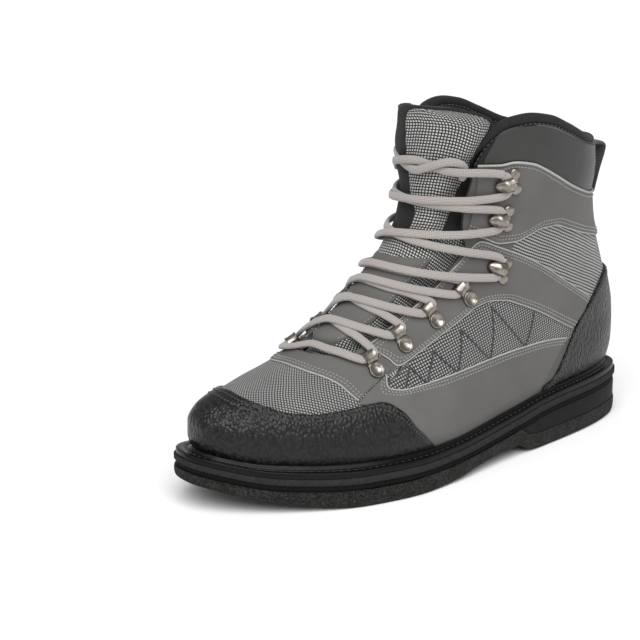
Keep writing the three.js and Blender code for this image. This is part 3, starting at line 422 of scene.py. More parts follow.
# Welt
# A strip of rubber round the whole boot. It is stitched to the midsole through a groove, and a glossy bead
# closes the joint between it and the upper.
welt_rubber, node, use = new_finish("welt_rubber", (0.004, 0.004, 0.004), 0.28, specular=0.18)
dust = spots(node, 320.0, 5.0, 0.6)
use("Roughness", ranged(node, dust, 0.35, 0.7, 0.24, 0.4))
relief(node, use, spots(node, 1800.0, 2.0), 0.00006, 0.6)
upper_height, welt_thickness = 0.150, 0.004
stations = [0.06, 0.22, 0.4, 0.54, 0.68, 0.8, 0.92]
# Columns: up, back and front as shares of the sole's length
upper_profile = [
    (0, 0.028, 0.963), (0.053, 0.019, 0.972), (0.107, 0.014, 0.972), (0.16, 0.013, 0.96),
    (0.207, 0.013, 0.934), (0.24, 0.014, 0.9), (0.28, 0.016, 0.844), (0.333, 0.022, 0.776),
    (0.4, 0.031, 0.713), (0.48, 0.044, 0.659), (0.567, 0.059, 0.609), (0.653, 0.075, 0.566),
    (0.733, 0.084, 0.537), (0.813, 0.091, 0.525), (0.9, 0.094, 0.52), (1.04, 0.091, 0.522),
    (1.233, 0.081, 0.525),
]
# Columns: up, then one share of the sole's width for each station
outer_widths = [
    (0, 0.271, 0.297, 0.339, 0.407, 0.441, 0.398, 0.339),
    (0.067, 0.297, 0.322, 0.356, 0.424, 0.458, 0.415, 0.356),
    (0.147, 0.305, 0.326, 0.356, 0.415, 0.441, 0.398, 0.339),
    (0.227, 0.297, 0.322, 0.347, 0.39, 0.398, 0.364, 0.314),
    (0.333, 0.28, 0.314, 0.331, 0.356, 0.356, 0.339, 0.305),
    (0.467, 0.258, 0.301, 0.314, 0.322, 0.322, 0.305, 0.288),
    (0.6, 0.246, 0.297, 0.305, 0.305, 0.305, 0.288, 0.271),
    (0.733, 0.25, 0.314, 0.322, 0.305, 0.288, 0.271, 0.254),
    (0.9, 0.271, 0.356, 0.356, 0.322, 0.288, 0.271, 0.254),
    (1.233, 0.305, 0.398, 0.398, 0.347, 0.305, 0.288, 0.271),
]
inner_widths = [
    (0, 0.271, 0.28, 0.288, 0.339, 0.441, 0.432, 0.381),
    (0.067, 0.297, 0.305, 0.305, 0.356, 0.458, 0.449, 0.39),
    (0.147, 0.305, 0.318, 0.318, 0.364, 0.445, 0.441, 0.381),
    (0.227, 0.297, 0.318, 0.322, 0.356, 0.436, 0.428, 0.373),
    (0.333, 0.28, 0.314, 0.322, 0.339, 0.39, 0.386, 0.347),
    *outer_widths[5:],
]
# Columns: up, roundness of the toe end and of the heel end
end_roundness = [
    (0, 2.35, 2.4), (0.133, 2.3, 2.35), (0.267, 2.1, 2.3), (0.467, 2, 2.24), (0.667, 2, 2.2),
    (1.233, 2.1, 2.3),
]
# The throat sits towards the outer side of the instep: features of the inner side move round by some degrees
# Degrees: the most, where it begins, over how many it grows, and over how many it fades
throat_skew, skew_from, skew_over, skew_back = 18.0, 165.0, 50.0, 75.0


def smooth(x):
    """Eases from 0 to 1 while x goes from 0 to 1."""
    x = np.clip(x, 0, 1)
    return x * x * (3 - 2 * x)


def last_point(angle, up):
    """The lasted surface, from degrees round the heel's back and a share of the upper's height.

    The angle's cosine goes from the back's line to the front's. The half width there comes from the tables
    and closes as a superellipse at both ends. Low down, the height follows the midsole's top.
    """
    angle, up = np.broadcast_arrays(np.asarray(angle, float) % 360, np.asarray(up, float))
    skewed_height = smooth((up - 0.27) / 0.1) * (1 - smooth((up - 0.62) / 0.16))
    past = angle - skew_from
    skewed_turn = smooth(past / skew_over) * (1 - smooth((past - skew_over) / skew_back))
    angle = angle - throat_skew * skewed_height * skewed_turn
    c = -np.cos(np.radians(angle))
    back, front = column(upper_profile, 1)(up), column(upper_profile, 2)(up)
    along = (back + front) / 2 + (front - back) / 2 * c
    toe_end, heel_end = column(end_roundness, 1)(up), column(end_roundness, 2)(up)
    closing = end_closing(c, np.where(c < 0, heel_end, toe_end))
    outer = np.stack([column(outer_widths, k + 1)(up) for k in range(len(stations))])
    inner = np.stack([column(inner_widths, k + 1)(up) for k in range(len(stations))])
    half = hermite(stations, np.where(angle <= 180, outer, inner), along)
    side = np.where(angle <= 180, 1, -1) * half * sole_width * closing + swing(along)
    fade = smooth(up / 0.867)
    base = midsole_top(along) * (1 - fade) + midsole_top(0.1) * fade
    height = up * upper_height + welt_thickness + base
    return np.stack([side - centre, sole_length * (0.5 - along), height], axis=-1)


def last_normal(angle, up):
    """Outward normal: the cross product of the steps up and round."""
    turned = last_point(np.asarray(angle) + 0.6, up) - last_point(np.asarray(angle) - 0.6, up)
    risen = last_point(angle, np.asarray(up) + 0.005) - last_point(angle, np.asarray(up) - 0.005)
    return unit(np.cross(risen, turned))


def surface(angle, up, off):
    """A point off the lasted surface by off metres. Panels end at 0, the mesh under them is lower."""
    return last_point(angle, up) + last_normal(angle, up) * np.asarray(off)[..., None]


welt_height, welt_inset = 0.0037, 0.0012
# Columns: share of the way from the sole's edge to the upper, share of the welt's height
welt_section = [
    (0, 0), (0, 0.85), (0.03, 0.96), (0.09, 1), (0.36, 1), (0.4, 0.95), (0.43, 0.74), (0.47, 0.66),
    (0.51, 0.74), (0.54, 0.95), (0.58, 1), (0.66, 1), (0.7, 1.12), (0.75, 1.36), (0.81, 1.5), (0.88, 1.48),
    (0.95, 1.3), (1, 1), (1, 0),
]
welt_across, welt_share = np.array(welt_section).T


def welt_point(angle, across, share):
    """A point of the welt: on the way from the sole's edge to the upper, at a share of its height."""
    height = share * welt_height
    inner = surface(angle, (height - welt_thickness) / upper_height, -0.0013)
    edge = sole_edge(angle, welt_inset, midsole_top)
    point = edge * (1 - across[..., None]) + inner * across[..., None]
    point[..., 2] = midsole_top(0.5 - point[..., 1] / sole_length) + height
    return point


round_angles, section_across = np.meshgrid(sole_angles, welt_across, indexing="ij")
welt_grid = welt_point(round_angles, section_across, np.broadcast_to(welt_share, round_angles.shape))
welt = mesh_object("rubber_welt", welt_grid.reshape(-1, 3), grid_quads(*welt_grid.shape[:2], True, True))
fit(welt, welt_rubber, "welt", "welt")


def along_path(points, places):
    """Points at given lengths along a line through points."""
    lengths = np.concatenate([[0], np.cumsum(np.linalg.norm(np.diff(points[:, :3], axis=0), axis=1))])
    return np.stack([np.interp(places, lengths, points[:, k]) for k in range(points.shape[1])], -1)


def path_length(points):
    """Length of a line through points."""
    return np.linalg.norm(np.diff(points, axis=0), axis=1).sum()


def stitch_row(
    name, points, normals, thread, pitch=0.0022, length=0.0016, radius=0.00042, slot="synthetic", sunk=0.05
):
    """Stitches along a line: each is a lozenge of thread, with round ends that dip into the panel."""
    total = path_length(points)
    count = max(int(total / pitch), 2)
    middle = (np.arange(count) + 0.5) * total / count
    lined = np.concatenate([points, normals], axis=1)
    here, before, after = (along_path(lined, middle + length * share) for share in (0, -0.5, 0.5))
    along = unit(after[:, :3] - before[:, :3])
    out = unit(here[:, 3:])
    across = unit(np.cross(along, out))
    steps, turns = np.array([-1, -0.8, -0.3, 0.3, 0.8, 1]), np.arange(6) / 6 * 2 * np.pi
    fat = np.array([0.25, 0.75, 1, 1, 0.75, 0.25]) * radius
    dip = np.array([-0.9, -0.35, 0.3, 0.3, -0.35, -0.9]) * radius - sunk * radius
    rings = (
        here[:, None, None, :3]
        + along[:, None, None] * (steps * length / 2)[None, :, None, None]
        + out[:, None, None] * (dip[None, :, None] + fat[None, :, None] * np.sin(turns))[..., None]
        + across[:, None, None] * (fat[None, :, None] * np.cos(turns) * 1.15)[..., None]
    )
    caps = np.array([[0, 3, 2, 1], [0, 5, 4, 3], [30, 31, 32, 33], [30, 33, 34, 35]])
    faces = np.concatenate([grid_quads(6, 6, round_cols=True), caps])
    every = (faces[None] + 36 * np.arange(count)[:, None, None]).reshape(-1, 4)
    row = mesh_object(name, rings.reshape(-1, 3), every)
    return fit(row, thread, slot)


def thread_finish(name, low, high):
    """Twisted sewing thread: two tones along it, and a little sheen."""
    return flecked(name, low, high, 2600.0, 0.0001, 0.8, detail=2.0, roughness=0.7, sheen=0.3)


black_thread = thread_finish("black_thread", (0.008, 0.008, 0.008), (0.025, 0.025, 0.025))
groove_across, groove_height, groove_points = 0.47, 0.74, 720
groove_angles = np.linspace(0.5, 359.5, groove_points)
groove = welt_point(
    groove_angles, np.full(groove_points, groove_across), np.full(groove_points, groove_height)
)
straight_up = np.tile([0.0, 0.0, 1.0], (groove_points, 1))
stitch_row("welt_stitches", groove, straight_up, black_thread, 0.0042, 0.0034, 0.0006, "welt")

# Upper
# The boot's base is one layer of woven mesh, lasted over the foot's shape and padded and lined round the
# ankle. It shows at the toe, in a window at the outer side and at the ankle; panels are sewn on everywhere
# else.
mesh_off = -0.0010


def wall_piece(name, outer, inner, keep=None, wraps=False, uv=None, which=None):
    """A closed wall between two grids. keep says which cells stay, which gives the outer ones a finish."""
    rows, cols = outer.shape[:2]
    numbers = np.arange(rows * cols).reshape(rows, cols)
    if wraps:
        numbers = np.concatenate([numbers, numbers[:, :1]], axis=1)
    keep = np.ones((rows - 1, numbers.shape[1] - 1), bool) if keep is None else keep
    which = np.zeros(keep.shape, int) if which is None else which
    a, b, c, d = numbers[:-1, :-1], numbers[:-1, 1:], numbers[1:, 1:], numbers[1:, :-1]
    under = rows * cols
    below, above = np.zeros_like(keep), np.zeros_like(keep)
    below[1:], above[:-1] = keep[:-1], keep[1:]
    if wraps:
        left, right_side = np.roll(keep, 1, axis=1), np.roll(keep, -1, axis=1)
    else:
        left, right_side = np.zeros_like(keep), np.zeros_like(keep)
        left[:, 1:], right_side[:, :-1] = keep[:, :-1], keep[:, 1:]
    faces = [np.stack([a, b, c, d], -1)[keep], np.stack([a, d, c, b], -1)[keep] + under]
    finish = [which[keep], np.full(keep.sum(), which.max() + 1)]
    for p, q, there in ((a, b, below), (b, c, right_side), (c, d, above), (d, a, left)):
        open_edge = keep & ~there
        faces.append(np.stack([q, p, p + under, q + under], -1)[open_edge])
        finish.append(which[open_edge])
    points = np.concatenate([outer.reshape(-1, 3), inner.reshape(-1, 3)])
    uv = None if uv is None else np.concatenate([uv.reshape(-1, 2)] * 2)
    return mesh_object(name, points, np.concatenate(faces), uv, np.concatenate(finish))


# Columns: up, angle of the throat's edge
throat_rows = [
    (0.34, 150), (0.39, 146), (0.44, 141), (0.513, 135), (0.587, 129.5), (0.653, 127), (0.693, 131),
    (0.747, 135), (0.813, 136.5), (0.9, 135), (1, 133), (1.2, 127),
]
# Columns: share of the way from heel to throat, up of the collar's edge
collar_rows = [
    (0, 0.99), (0.2, 0.998), (0.45, 1.035), (0.6, 1.092), (0.7, 1.129), (0.8, 1.143), (0.87, 1.134),
    (0.93, 1.105), (0.97, 1.06), (1, 0.99),
]
throat_angle, collar_up = column(throat_rows, 1), column(collar_rows, 1)
throat_bottom, collar_room = 0.352, 0.030
skin_depth, wall_depth, collar_pad = 0.0023, 0.0024, 0.0032
base_up = -welt_thickness / upper_height


def inner_off(up):
    """Inside of the wall: its own depth, and the collar's padding higher up."""
    return -skin_depth - wall_depth - collar_pad * smooth((up - 0.62) / 0.2)


side_cells, toe_cells = 130, 64
cells = np.arange(2 * side_cells + toe_cells)
low_rows, leg_rows = 60, 90
rows_up = np.concatenate([np.linspace(base_up, throat_bottom, low_rows), np.full(leg_rows, throat_bottom)])
leg_share = np.concatenate([np.zeros(low_rows), np.linspace(0, 1, leg_rows + 1)[1:]])


def cell_angle(cell, up):
    """Angle of a column: they run from the heel's back to the throat's edge, and over the toe between."""
    edge = throat_angle(up)
    total = 2 * side_cells + toe_cells
    return np.where(
        cell <= side_cells,
        edge * cell / side_cells,
        np.where(
            cell >= side_cells + toe_cells,
            360 - edge * (total - cell) / side_cells,
            edge + (360 - 2 * edge) * (cell - side_cells) / toe_cells,
        ),
    )


share_of_way = np.minimum(np.minimum(cells, len(cells) - cells) / side_cells, 1)
edge_up = collar_up(share_of_way) - collar_room
base_ups = rows_up[:, None] + (edge_up - throat_bottom)[None, :] * leg_share[:, None]
base_angles = cell_angle(np.broadcast_to(cells, base_ups.shape), base_ups)
cell_ups = (base_ups[1:] + base_ups[:-1]) / 2
cell_angles = (base_angles[1:] + base_angles[:-1]) / 2
over_toe = (cells >= side_cells) & (cells < side_cells + toe_cells)
in_throat = (np.arange(len(base_ups) - 1) >= low_rows - 1)[:, None] & over_toe
side_angle = np.where(cell_angles > 180, 360 - cell_angles, cell_angles)
toe_part = (side_angle > 122) | ((side_angle > 96) & (cell_ups < 0.16))
ankle_part = (side_angle < 100) & (cell_ups > 0.3 + 0.26 * smooth((side_angle - 40) / 60))
window_part = (cell_angles < 124) & (cell_angles > 50) & (cell_ups > 0.19) & ~ankle_part & (cell_ups < 0.48)
window_part &= (side_angle < 119) | (cell_ups > 0.25)
# Finishes of the base: mesh at the toe, in the window and at the ankle, grey cover under the panels, black
# at the collar's front edge
base_finish = np.full(cell_ups.shape, 3)
base_finish = np.where(window_part, 1, np.where(ankle_part & (cell_ups < 0.72), 2, base_finish))
base_finish = np.where((side_angle > 123) & (cell_ups > 0.18) & (cell_ups < 0.345), 0, base_finish)
under_vamp = (side_angle < 134) & (side_angle > 119) & (cell_ups > 0.262 + 0.004 * (side_angle - 123))
base_finish = np.where(under_vamp & ~window_part, 3, base_finish)
base_finish = np.where((side_angle > 100) & (cell_ups > 0.945), 4, base_finish)
base_outer = surface(base_angles, base_ups, mesh_off)
base_inner = surface(base_angles, base_ups, inner_off(base_ups))


def cloth_uv(points, toe):
    """Flat measure of a cloth in metres: across and up the slope at the toe, along and up at the sides."""
    slope = math.radians(32)
    up_slope = points[..., 1] * math.cos(slope) + points[..., 2] * math.sin(slope)
    return np.where(toe[..., None], np.stack([points[..., 0], up_slope], -1), points[..., 1:])


def woven_finish(name, dark, light, across, along, turned=0.0, ribbed=0.0, depth=0.0003):
    """Mesh cloth: raised light squares in rows on a dark ground. ribbed joins the squares of a row."""
    cloth, node, use = new_finish(name, light, 0.7, sheen=0.15)
    surface_uv = node("ShaderNodeUVMap", uv_map="surface")
    wobble = node("ShaderNodeTexNoise", {"Vector": surface_uv, "Scale": 60.0, "Detail": 2.0}, 1)
    shifted = node("ShaderNodeVectorMath", {0: wobble, "Scale": 0.0016}, operation="SCALE")
    moved = node("ShaderNodeVectorMath", {0: surface_uv, 1: shifted}, operation="ADD")
    laid = node("ShaderNodeMapping", {"Vector": moved, "Rotation": (0.0, 0.0, math.radians(turned))})
    waves = []
    for axis, size in ((0, across), (1, along)):
        value = node("ShaderNodeSeparateXYZ", {0: laid}, axis)
        wave = calc(node, "SINE", calc(node, "MULTIPLY", value, math.pi / size))
        waves.append(calc(node, "ABSOLUTE", wave))
    square = calc(node, "MINIMUM", calc(node, "ADD", waves[0], ribbed), waves[1])
    raised = ranged(node, square, 0.5, 0.8)
    tone = spots(node, 45.0, 3.0, place=surface_uv)
    share = calc(node, "MULTIPLY", raised, ranged(node, tone, 0.3, 0.7, 0.82, 1.0))
    use("Base Color", mixed(node, share, dark, light))
    relief(node, use, square, depth, 0.8)
    return cloth


toe_mesh = woven_finish("toe_mesh", (0.03, 0.03, 0.03), (0.38, 0.38, 0.37), 0.0013, 0.0013, turned=45.0)
window_mesh = woven_finish(
    "window_mesh", (0.008, 0.008, 0.008), (0.37, 0.37, 0.36), 0.00175, 0.00155, turned=-15.0
)
ankle_mesh = woven_finish(
    "ankle_mesh", (0.008, 0.008, 0.008), (0.37, 0.37, 0.36), 0.0018, 0.0018, turned=23.0, ribbed=0.35
)
cover, node, use = new_finish("grey_cover", (0.1, 0.098, 0.0935), 0.66, specular=0.15)
relief(node, use, spots(node, 1500.0, 3.0), 0.0002, 0.5)
gusset, node, use = new_finish("black_gusset", (0.012, 0.012, 0.012), 0.8)
relief(node, use, spots(node, 1500.0, 3.0), 0.0002, 0.5)
lining = flecked(
    "lining", (0.007,) * 3, (0.03,) * 3, 1500.0, 0.0002, 0.8, span=(0.35, 0.7), roughness=0.95, sheen=0.25
)
toe_points = np.pad(toe_part, ((0, 1), (0, 0)), mode="edge")
base_cloth = cloth_uv(base_outer, toe_points)
base = wall_piece("mesh_upper", base_outer, base_inner, ~in_throat, True, base_cloth, base_finish)
fit(base, [toe_mesh, window_mesh, ankle_mesh, cover, gusset, lining], "mesh", "upper")

# Toe cap and heel counter
# Pebbled black leather, stiffened and lasted wet, so that the grain is stretched flat near the welt.
# Their upper edges are turned and sewn with two rows of black thread.
# A panel's table holds its two long edges, row by row. Columns: low angle, low up, high angle, high up.
panel_depth, panel_roll, crown_reach = 0.0014, 0.0008, 0.012
panel_foot = (0.45 * welt_thickness + 0.0003) / upper_height


def on_inner_side(rows):
    """The same panel on the inner side of the foot."""
    return [(360 - a, b, 360 - c, d) for a, b, c, d in rows]


def round_toe(rows):
    """One half of a panel over the toe, and its mirror image."""
    return rows + on_inner_side(rows[:-1])[::-1]


def round_heel(rows):
    """One half of a panel round the heel, and its mirror image."""
    return rows + [(-a, b, -c, d) for a, b, c, d in rows[:-1]][::-1]


def panel_place(rows, s, t):
    """Angle and up at shares along and across a panel: its edges as smooth curves, straight between them."""
    k = np.asarray(s) * (len(rows) - 1)
    at = [hermite(np.arange(len(rows)), [row[i] for row in rows], k) for i in range(4)]
    return at[0] * (1 - t) + at[2] * t, at[1] * (1 - t) + at[3] * t


def edge_steps(length, count, near):
    """Shares of a length, with short steps close to both ends where the edge rolls over."""
    fine = np.array([0, 0.08, 0.25, 0.5, 0.8, 1.15]) * near / length
    fine = fine[fine < 0.45]
    return np.concatenate([fine, np.linspace(fine[-1], 1 - fine[-1], count)[1:-1], 1 - fine[::-1]])


def lengths_along(points, axis):
    """Running length of each line of a grid."""
    steps = np.linalg.norm(np.diff(points, axis=axis), axis=-1)
    zero = np.zeros_like(np.take(steps, [0], axis=axis))
    return np.concatenate([zero, np.cumsum(steps, axis=axis)], axis=axis)


def rolled(flat, roll):
    """For a grid: lengths across and along it, the way to its nearest edge, and a round's drop there."""
    across, along = lengths_along(flat, 1), lengths_along(flat, 0)
    edge = np.minimum(np.minimum(across, across[:, -1:] - across), np.minimum(along, along[-1:] - along))
    inwards = roll - np.minimum(edge, roll)
    return across, along, edge, roll - np.sqrt(np.maximum(roll**2 - inwards**2, 0))


def panel(
    name, rows, finish, slot, nodes=(), lift=0.0, depth=panel_depth, roll=panel_roll, crown=0.0, step=0.0016
):
    """A sewn panel: it lies on the last at lift, depth thick, and its edges roll down over roll metres."""
    probe_s, probe_t = np.meshgrid(np.linspace(0, 1, 40), np.linspace(0, 1, 12), indexing="ij")
    probe = last_point(*panel_place(rows, probe_s, probe_t))
    long, wide = lengths_along(probe, 0)[-1].mean(), lengths_along(probe, 1)[:, -1].mean()
    steps_along, steps_across = (
        edge_steps(size, max(int(size / step), least), roll) for size, least in ((long, 8), (wide, 6))
    )
    s, t = np.meshgrid(steps_along, steps_across, indexing="ij")
    angle, up = panel_place(rows, s, t)
    across, along, edge, down = rolled(last_point(angle, up), roll)
    outer = surface(angle, up, lift - down + crown * smooth(edge / crown_reach))
    piece = wall_piece(name, outer, surface(angle, up, lift - depth), uv=np.stack([along, across], -1))
    return fit(piece, [finish, finish], slot, *nodes)


def panel_line(rows, edge, inset, off=0.0, start=0.0, end=1.0, count=400):
    """Points and normals of a line beside a panel's low or high edge, inset metres inside it."""
    s = np.linspace(start, end, count)
    low, high = last_point(*panel_place(rows, s, 0.0)), last_point(*panel_place(rows, s, 1.0))
    t = inset / np.maximum(np.linalg.norm(high - low, axis=1), 1e-4)
    angle, up = panel_place(rows, s, t if edge == "low" else 1 - t)
    return surface(angle, up, off), last_normal(angle, up)


def double_seam(
    name, rows, edge, thread, insets=(0.0021, 0.0041), off=0.0, start=0.0, end=1.0, slot="synthetic",
    **sizes
):
    """Rows of stitches beside a panel's edge."""
    for number, inset in enumerate(insets):
        points, normals = panel_line(rows, edge, inset, off, start, end)
        stitch_row(f"{name}_{number + 1}", points, normals, thread, slot=slot, **sizes)


pebbled, node, use = new_finish("pebbled_leather", (0.009, 0.009, 0.0085), 0.33, specular=0.3)
place = node("ShaderNodeTexCoord", output=3)
bend = node("ShaderNodeTexNoise", {"Vector": place, "Scale": 260.0, "Detail": 2.0}, 1)
small_bend = node("ShaderNodeVectorMath", {0: bend, "Scale": 0.0011}, operation="SCALE")
bent = node("ShaderNodeVectorMath", {0: small_bend, 1: place}, operation="ADD")
tall = node("ShaderNodeVectorMath", {0: bent, 1: (1, 1, 0.6)}, operation="MULTIPLY")
cells_near = node("ShaderNodeTexVoronoi", {"Vector": tall, "Scale": 540.0, "Randomness": 1.0}, feature="F1")
pebbles = calc(node, "SUBTRACT", 1.0, ranged(node, cells_near, 0.1, 0.8))
height_up = node("ShaderNodeSeparateXYZ", {0: place}, 2)
stretched = ranged(node, height_up, 0.024, 0.044, 0.25, 1.0)
fine_grain = calc(node, "MULTIPLY", spots(node, 1900.0, 3.0), 0.18)
grain = calc(node, "ADD", calc(node, "MULTIPLY", pebbles, stretched), fine_grain)
relief(node, use, grain, 0.0005, 1.0)
rub = spots(node, 60.0, 4.0, 0.6)
use("Roughness", ranged(node, rub, 0.3, 0.7, 0.24, 0.4))
pebble_tone = ranged(node, pebbles, 0.1, 0.9)
use("Base Color", mixed(node, pebble_tone, (0.003, 0.003, 0.0028), (0.011, 0.011, 0.0104)))

toe_cap_rows = round_toe(
    [
        (101, panel_foot, 101.4, 0.026), (105, panel_foot, 106, 0.099), (112.5, panel_foot, 111.5, 0.176),
        (120, panel_foot, 119, 0.213), (127.5, panel_foot, 127.5, 0.201), (135, panel_foot, 135, 0.192),
        (142.5, panel_foot, 142.5, 0.197), (150, panel_foot, 150, 0.21), (157.5, panel_foot, 157.5, 0.221),
        (165, panel_foot, 165, 0.229), (172.5, panel_foot, 172.5, 0.235), (180, panel_foot, 180, 0.238),
    ]
)
heel_counter_rows = round_heel(
    [
        (62.6, panel_foot, 62.4, 0.034), (60, panel_foot, 59.5, 0.05), (56, panel_foot, 56.5, 0.11),
        (52.5, panel_foot, 53.2, 0.2), (48.5, panel_foot, 51, 0.27), (45, panel_foot, 45, 0.333),
        (37.5, panel_foot, 37.5, 0.378), (30, panel_foot, 30, 0.405), (22.5, panel_foot, 22.5, 0.418),
        (15, panel_foot, 15, 0.424), (7.5, panel_foot, 7.5, 0.427), (0, panel_foot, 0, 0.428),
    ]
)
leather_lift = 0.0008
leather_cut = dict(lift=leather_lift, depth=0.0022, roll=0.0011, step=0.0012)
leather_seam = dict(
    insets=(0.0017, 0.0036), off=leather_lift, start=0.02, end=0.98, slot="leather", radius=0.00038
)
for name, rows in (("toe_cap", toe_cap_rows), ("heel_counter", heel_counter_rows)):
    panel(f"{name}_leather", rows, pebbled, "leather", (name,), **leather_cut)
    double_seam(f"{name}_seam", rows, "high", black_thread, **leather_seam)

# Vamp, quarters, eyestays and ankle panels
# Smooth grey coated microfibre with a matt face. The cut edges show the paler core, and two rows of grey
# thread run beside each.


def swept_piece(name, centres, across, out, section):
    """A profile carried along a path: section holds (across, out) offsets, for each step or for all."""
    section = np.broadcast_to(section, (len(centres), *np.shape(section)[-2:]))
    rings = centres[:, None] + section[..., :1] * across[:, None] + section[..., 1:] * out[:, None]
    count, sides = rings.shape[:2]
    last_ring = (count - 1) * sides
    faces = [
        grid_quads(count, sides, round_cols=True), end_quads(0, sides), end_quads(last_ring, sides)[:, ::-1]
    ]
    lengths = np.concatenate([[0], np.cumsum(np.linalg.norm(np.diff(centres, axis=0), axis=1))])
    turn = np.arange(sides)[None, :] / sides
    uv = np.stack(np.broadcast_arrays(turn, lengths[:, None]), -1).reshape(-1, 2)
    return mesh_object(name, rings.reshape(-1, 3), np.concatenate(faces), uv)


def round_section(width, height, sides=10):
    """An ellipse as (across, out) offsets."""
    turn = np.arange(sides) / sides * 2 * np.pi
    return np.stack([np.cos(turn) * width / 2, np.sin(turn) * height / 2], -1)


def line_frames(points, normals):
    """Directions across and out of a line that lies on a surface."""
    along = unit(np.gradient(points, axis=0))
    out = unit(normals - np.einsum("ij,ij->i", normals, along)[:, None] * along)
    return unit(np.cross(along, out)), out


def edging(name, points, normals, finish, radius=0.0005, slot="synthetic"):
    """The pale cut edge of a panel, as a fine bead along it."""
    across, out = line_frames(points, normals)
    return fit(
        swept_piece(name, points, across, out, round_section(2 * radius, 2 * radius, 8)), finish, slot
    )


microfibre, node, use = new_finish(
    "grey_microfibre", (0.095, 0.093, 0.0885), 0.66, sheen=0.05, specular=0.15
)
cloudy = spots(node, 35.0, 3.0, 0.55)
pores = spots(node, 2200.0, 3.0, 0.7)
soiled = calc(node, "ADD", ranged(node, cloudy, 0.25, 0.75, 0.0, 0.7), calc(node, "MULTIPLY", pores, 0.3))
use("Base Color", mixed(node, soiled, (0.085, 0.083, 0.0785), (0.125, 0.1225, 0.117)))
use("Roughness", ranged(node, cloudy, 0.3, 0.7, 0.55, 0.7))
creases = spots(node, 110.0, 4.0, 0.6)
relief(node, use, calc(node, "ADD", calc(node, "MULTIPLY", pores, 0.35), creases), 0.00025, 0.5)
pale_edge = flecked(
    "pale_cut_edge", (0.27, 0.265, 0.25), (0.42, 0.415, 0.4), 1800.0, 0.0001, 0.6, roughness=0.8
)
grey_thread = thread_finish("grey_thread", (0.13, 0.127, 0.121), (0.27, 0.265, 0.255))

vamp_rows = round_toe(
    [
        (125.5, 0.226, 126, 0.302), (131.4, 0.251, 132, 0.324), (139.9, 0.278, 139, 0.347),
        (150, 0.298, 148, 0.349), (160, 0.309, 158, 0.349), (170, 0.316, 169, 0.349),
        (180, 0.318, 180, 0.349),
    ]
)
outer_quarter_rows = [
    (65, panel_foot, 56, 0.205), (70, panel_foot, 62.5, 0.222), (75, panel_foot, 70, 0.236),
    (82.5, panel_foot, 80, 0.249), (90, panel_foot, 90, 0.2535), (97.5, panel_foot, 97.5, 0.2525),
    (101.4, panel_foot, 101, 0.249), (104.6, 0.05, 103.5, 0.247), (107.6, 0.098, 106, 0.244),
    (114.5, 0.182, 113, 0.237), (119.5, 0.205, 118.5, 0.246), (124.5, 0.212, 126, 0.29),
]
inner_quarter_rows = [
    (65, panel_foot, 54.5, 0.228), (70, panel_foot, 60, 0.262), (75, panel_foot, 67.5, 0.303),
    (82.5, panel_foot, 79, 0.364), (90, panel_foot, 90, 0.418), (97.5, panel_foot, 97.5, 0.441),
    (101.4, panel_foot, 102, 0.447), (104.6, 0.05, 104.5, 0.446), (107.6, 0.098, 107, 0.441),
    (114.5, 0.182, 113.5, 0.404), (119.5, 0.205, 119.3, 0.35), (124.5, 0.212, 126, 0.296),
]
eyestay_rows = [
    (53.9, 0.238, 46.5, 0.34), (63.8, 0.291, 55.2, 0.388), (76.6, 0.362, 66.1, 0.452),
    (87.8, 0.417, 76.3, 0.514), (95.8, 0.448, 85.9, 0.563), (103, 0.459, 93, 0.594),
    (107.5, 0.452, 107, 0.64), (113, 0.417, 120.5, 0.674), (118, 0.379, 127, 0.6),
    (121.5, 0.34, 132.5, 0.52), (124.5, 0.31, 138.5, 0.46), (131.5, 0.334, 142.5, 0.405),
    (138.5, 0.356, 145.5, 0.37),
]
ankle_rows = [
    (5, 0.565, 5, 0.765), (18, 0.572, 18, 0.767), (31.5, 0.585, 30, 0.772), (49.6, 0.618, 45, 0.785),
    (65.8, 0.66, 60, 0.815), (78.6, 0.692, 72, 0.85), (87, 0.692, 84, 0.897), (94, 0.675, 93.4, 0.935),
    (101, 0.658, 102, 0.962), (109, 0.66, 112.2, 0.973), (120, 0.688, 121, 0.965),
    (131, 0.71, 132.5, 0.965),
]
panel("vamp_panel", vamp_rows, microfibre, "synthetic", ("vamp",))
edging("vamp_edge", *panel_line(vamp_rows, "low", 0.0, -0.0005), pale_edge)
double_seam("vamp_seam", vamp_rows, "low", grey_thread)
two_rows = (0.0021, 0.0041)
for side, quarter_rows in (("lateral", outer_quarter_rows), ("medial", inner_quarter_rows)):
    turned = on_inner_side if side == "medial" else list
    quarter, eyestay, ankle = turned(quarter_rows), turned(eyestay_rows), turned(ankle_rows)
    panel(f"quarter_panel_{side}", quarter, microfibre, "synthetic", (f"quarter_{side}",), lift=-0.0002)
    panel(
        f"eyestay_panel_{side}", eyestay, microfibre, "synthetic", (f"eyestay_{side}",), lift=0.0003,
        depth=0.0017
    )
    panel(f"ankle_panel_skin_{side}", ankle, microfibre, "synthetic", (f"ankle_panel_{side}",), lift=0.0002)
    # Columns: line, its panel and edge, the bead's offset and radius, the stitches' insets and offset
    for line, rows, edge, bead_off, bead, insets, off in (
        ("quarter", quarter, "high", -0.0006, 0.0005, two_rows, -0.0002),
        ("eyestay_low", eyestay, "low", -0.0003, 0.0005, two_rows, 0.0003),
        ("eyestay_high", eyestay, "high", -0.0003, 0.0005, two_rows, 0.0003),
        ("ankle_low", ankle, "low", -0.0003, 0.0005, two_rows, 0.0002),
        ("ankle_high", ankle, "high", 0.0002, 0.0008, (0.0028,), 0.0002),
    ):
        edging(f"{line}_edge_{side}", *panel_line(rows, edge, 0.0, bead_off), pale_edge, bead)
        double_seam(f"{line}_seam_{side}", rows, edge, grey_thread, insets, off)

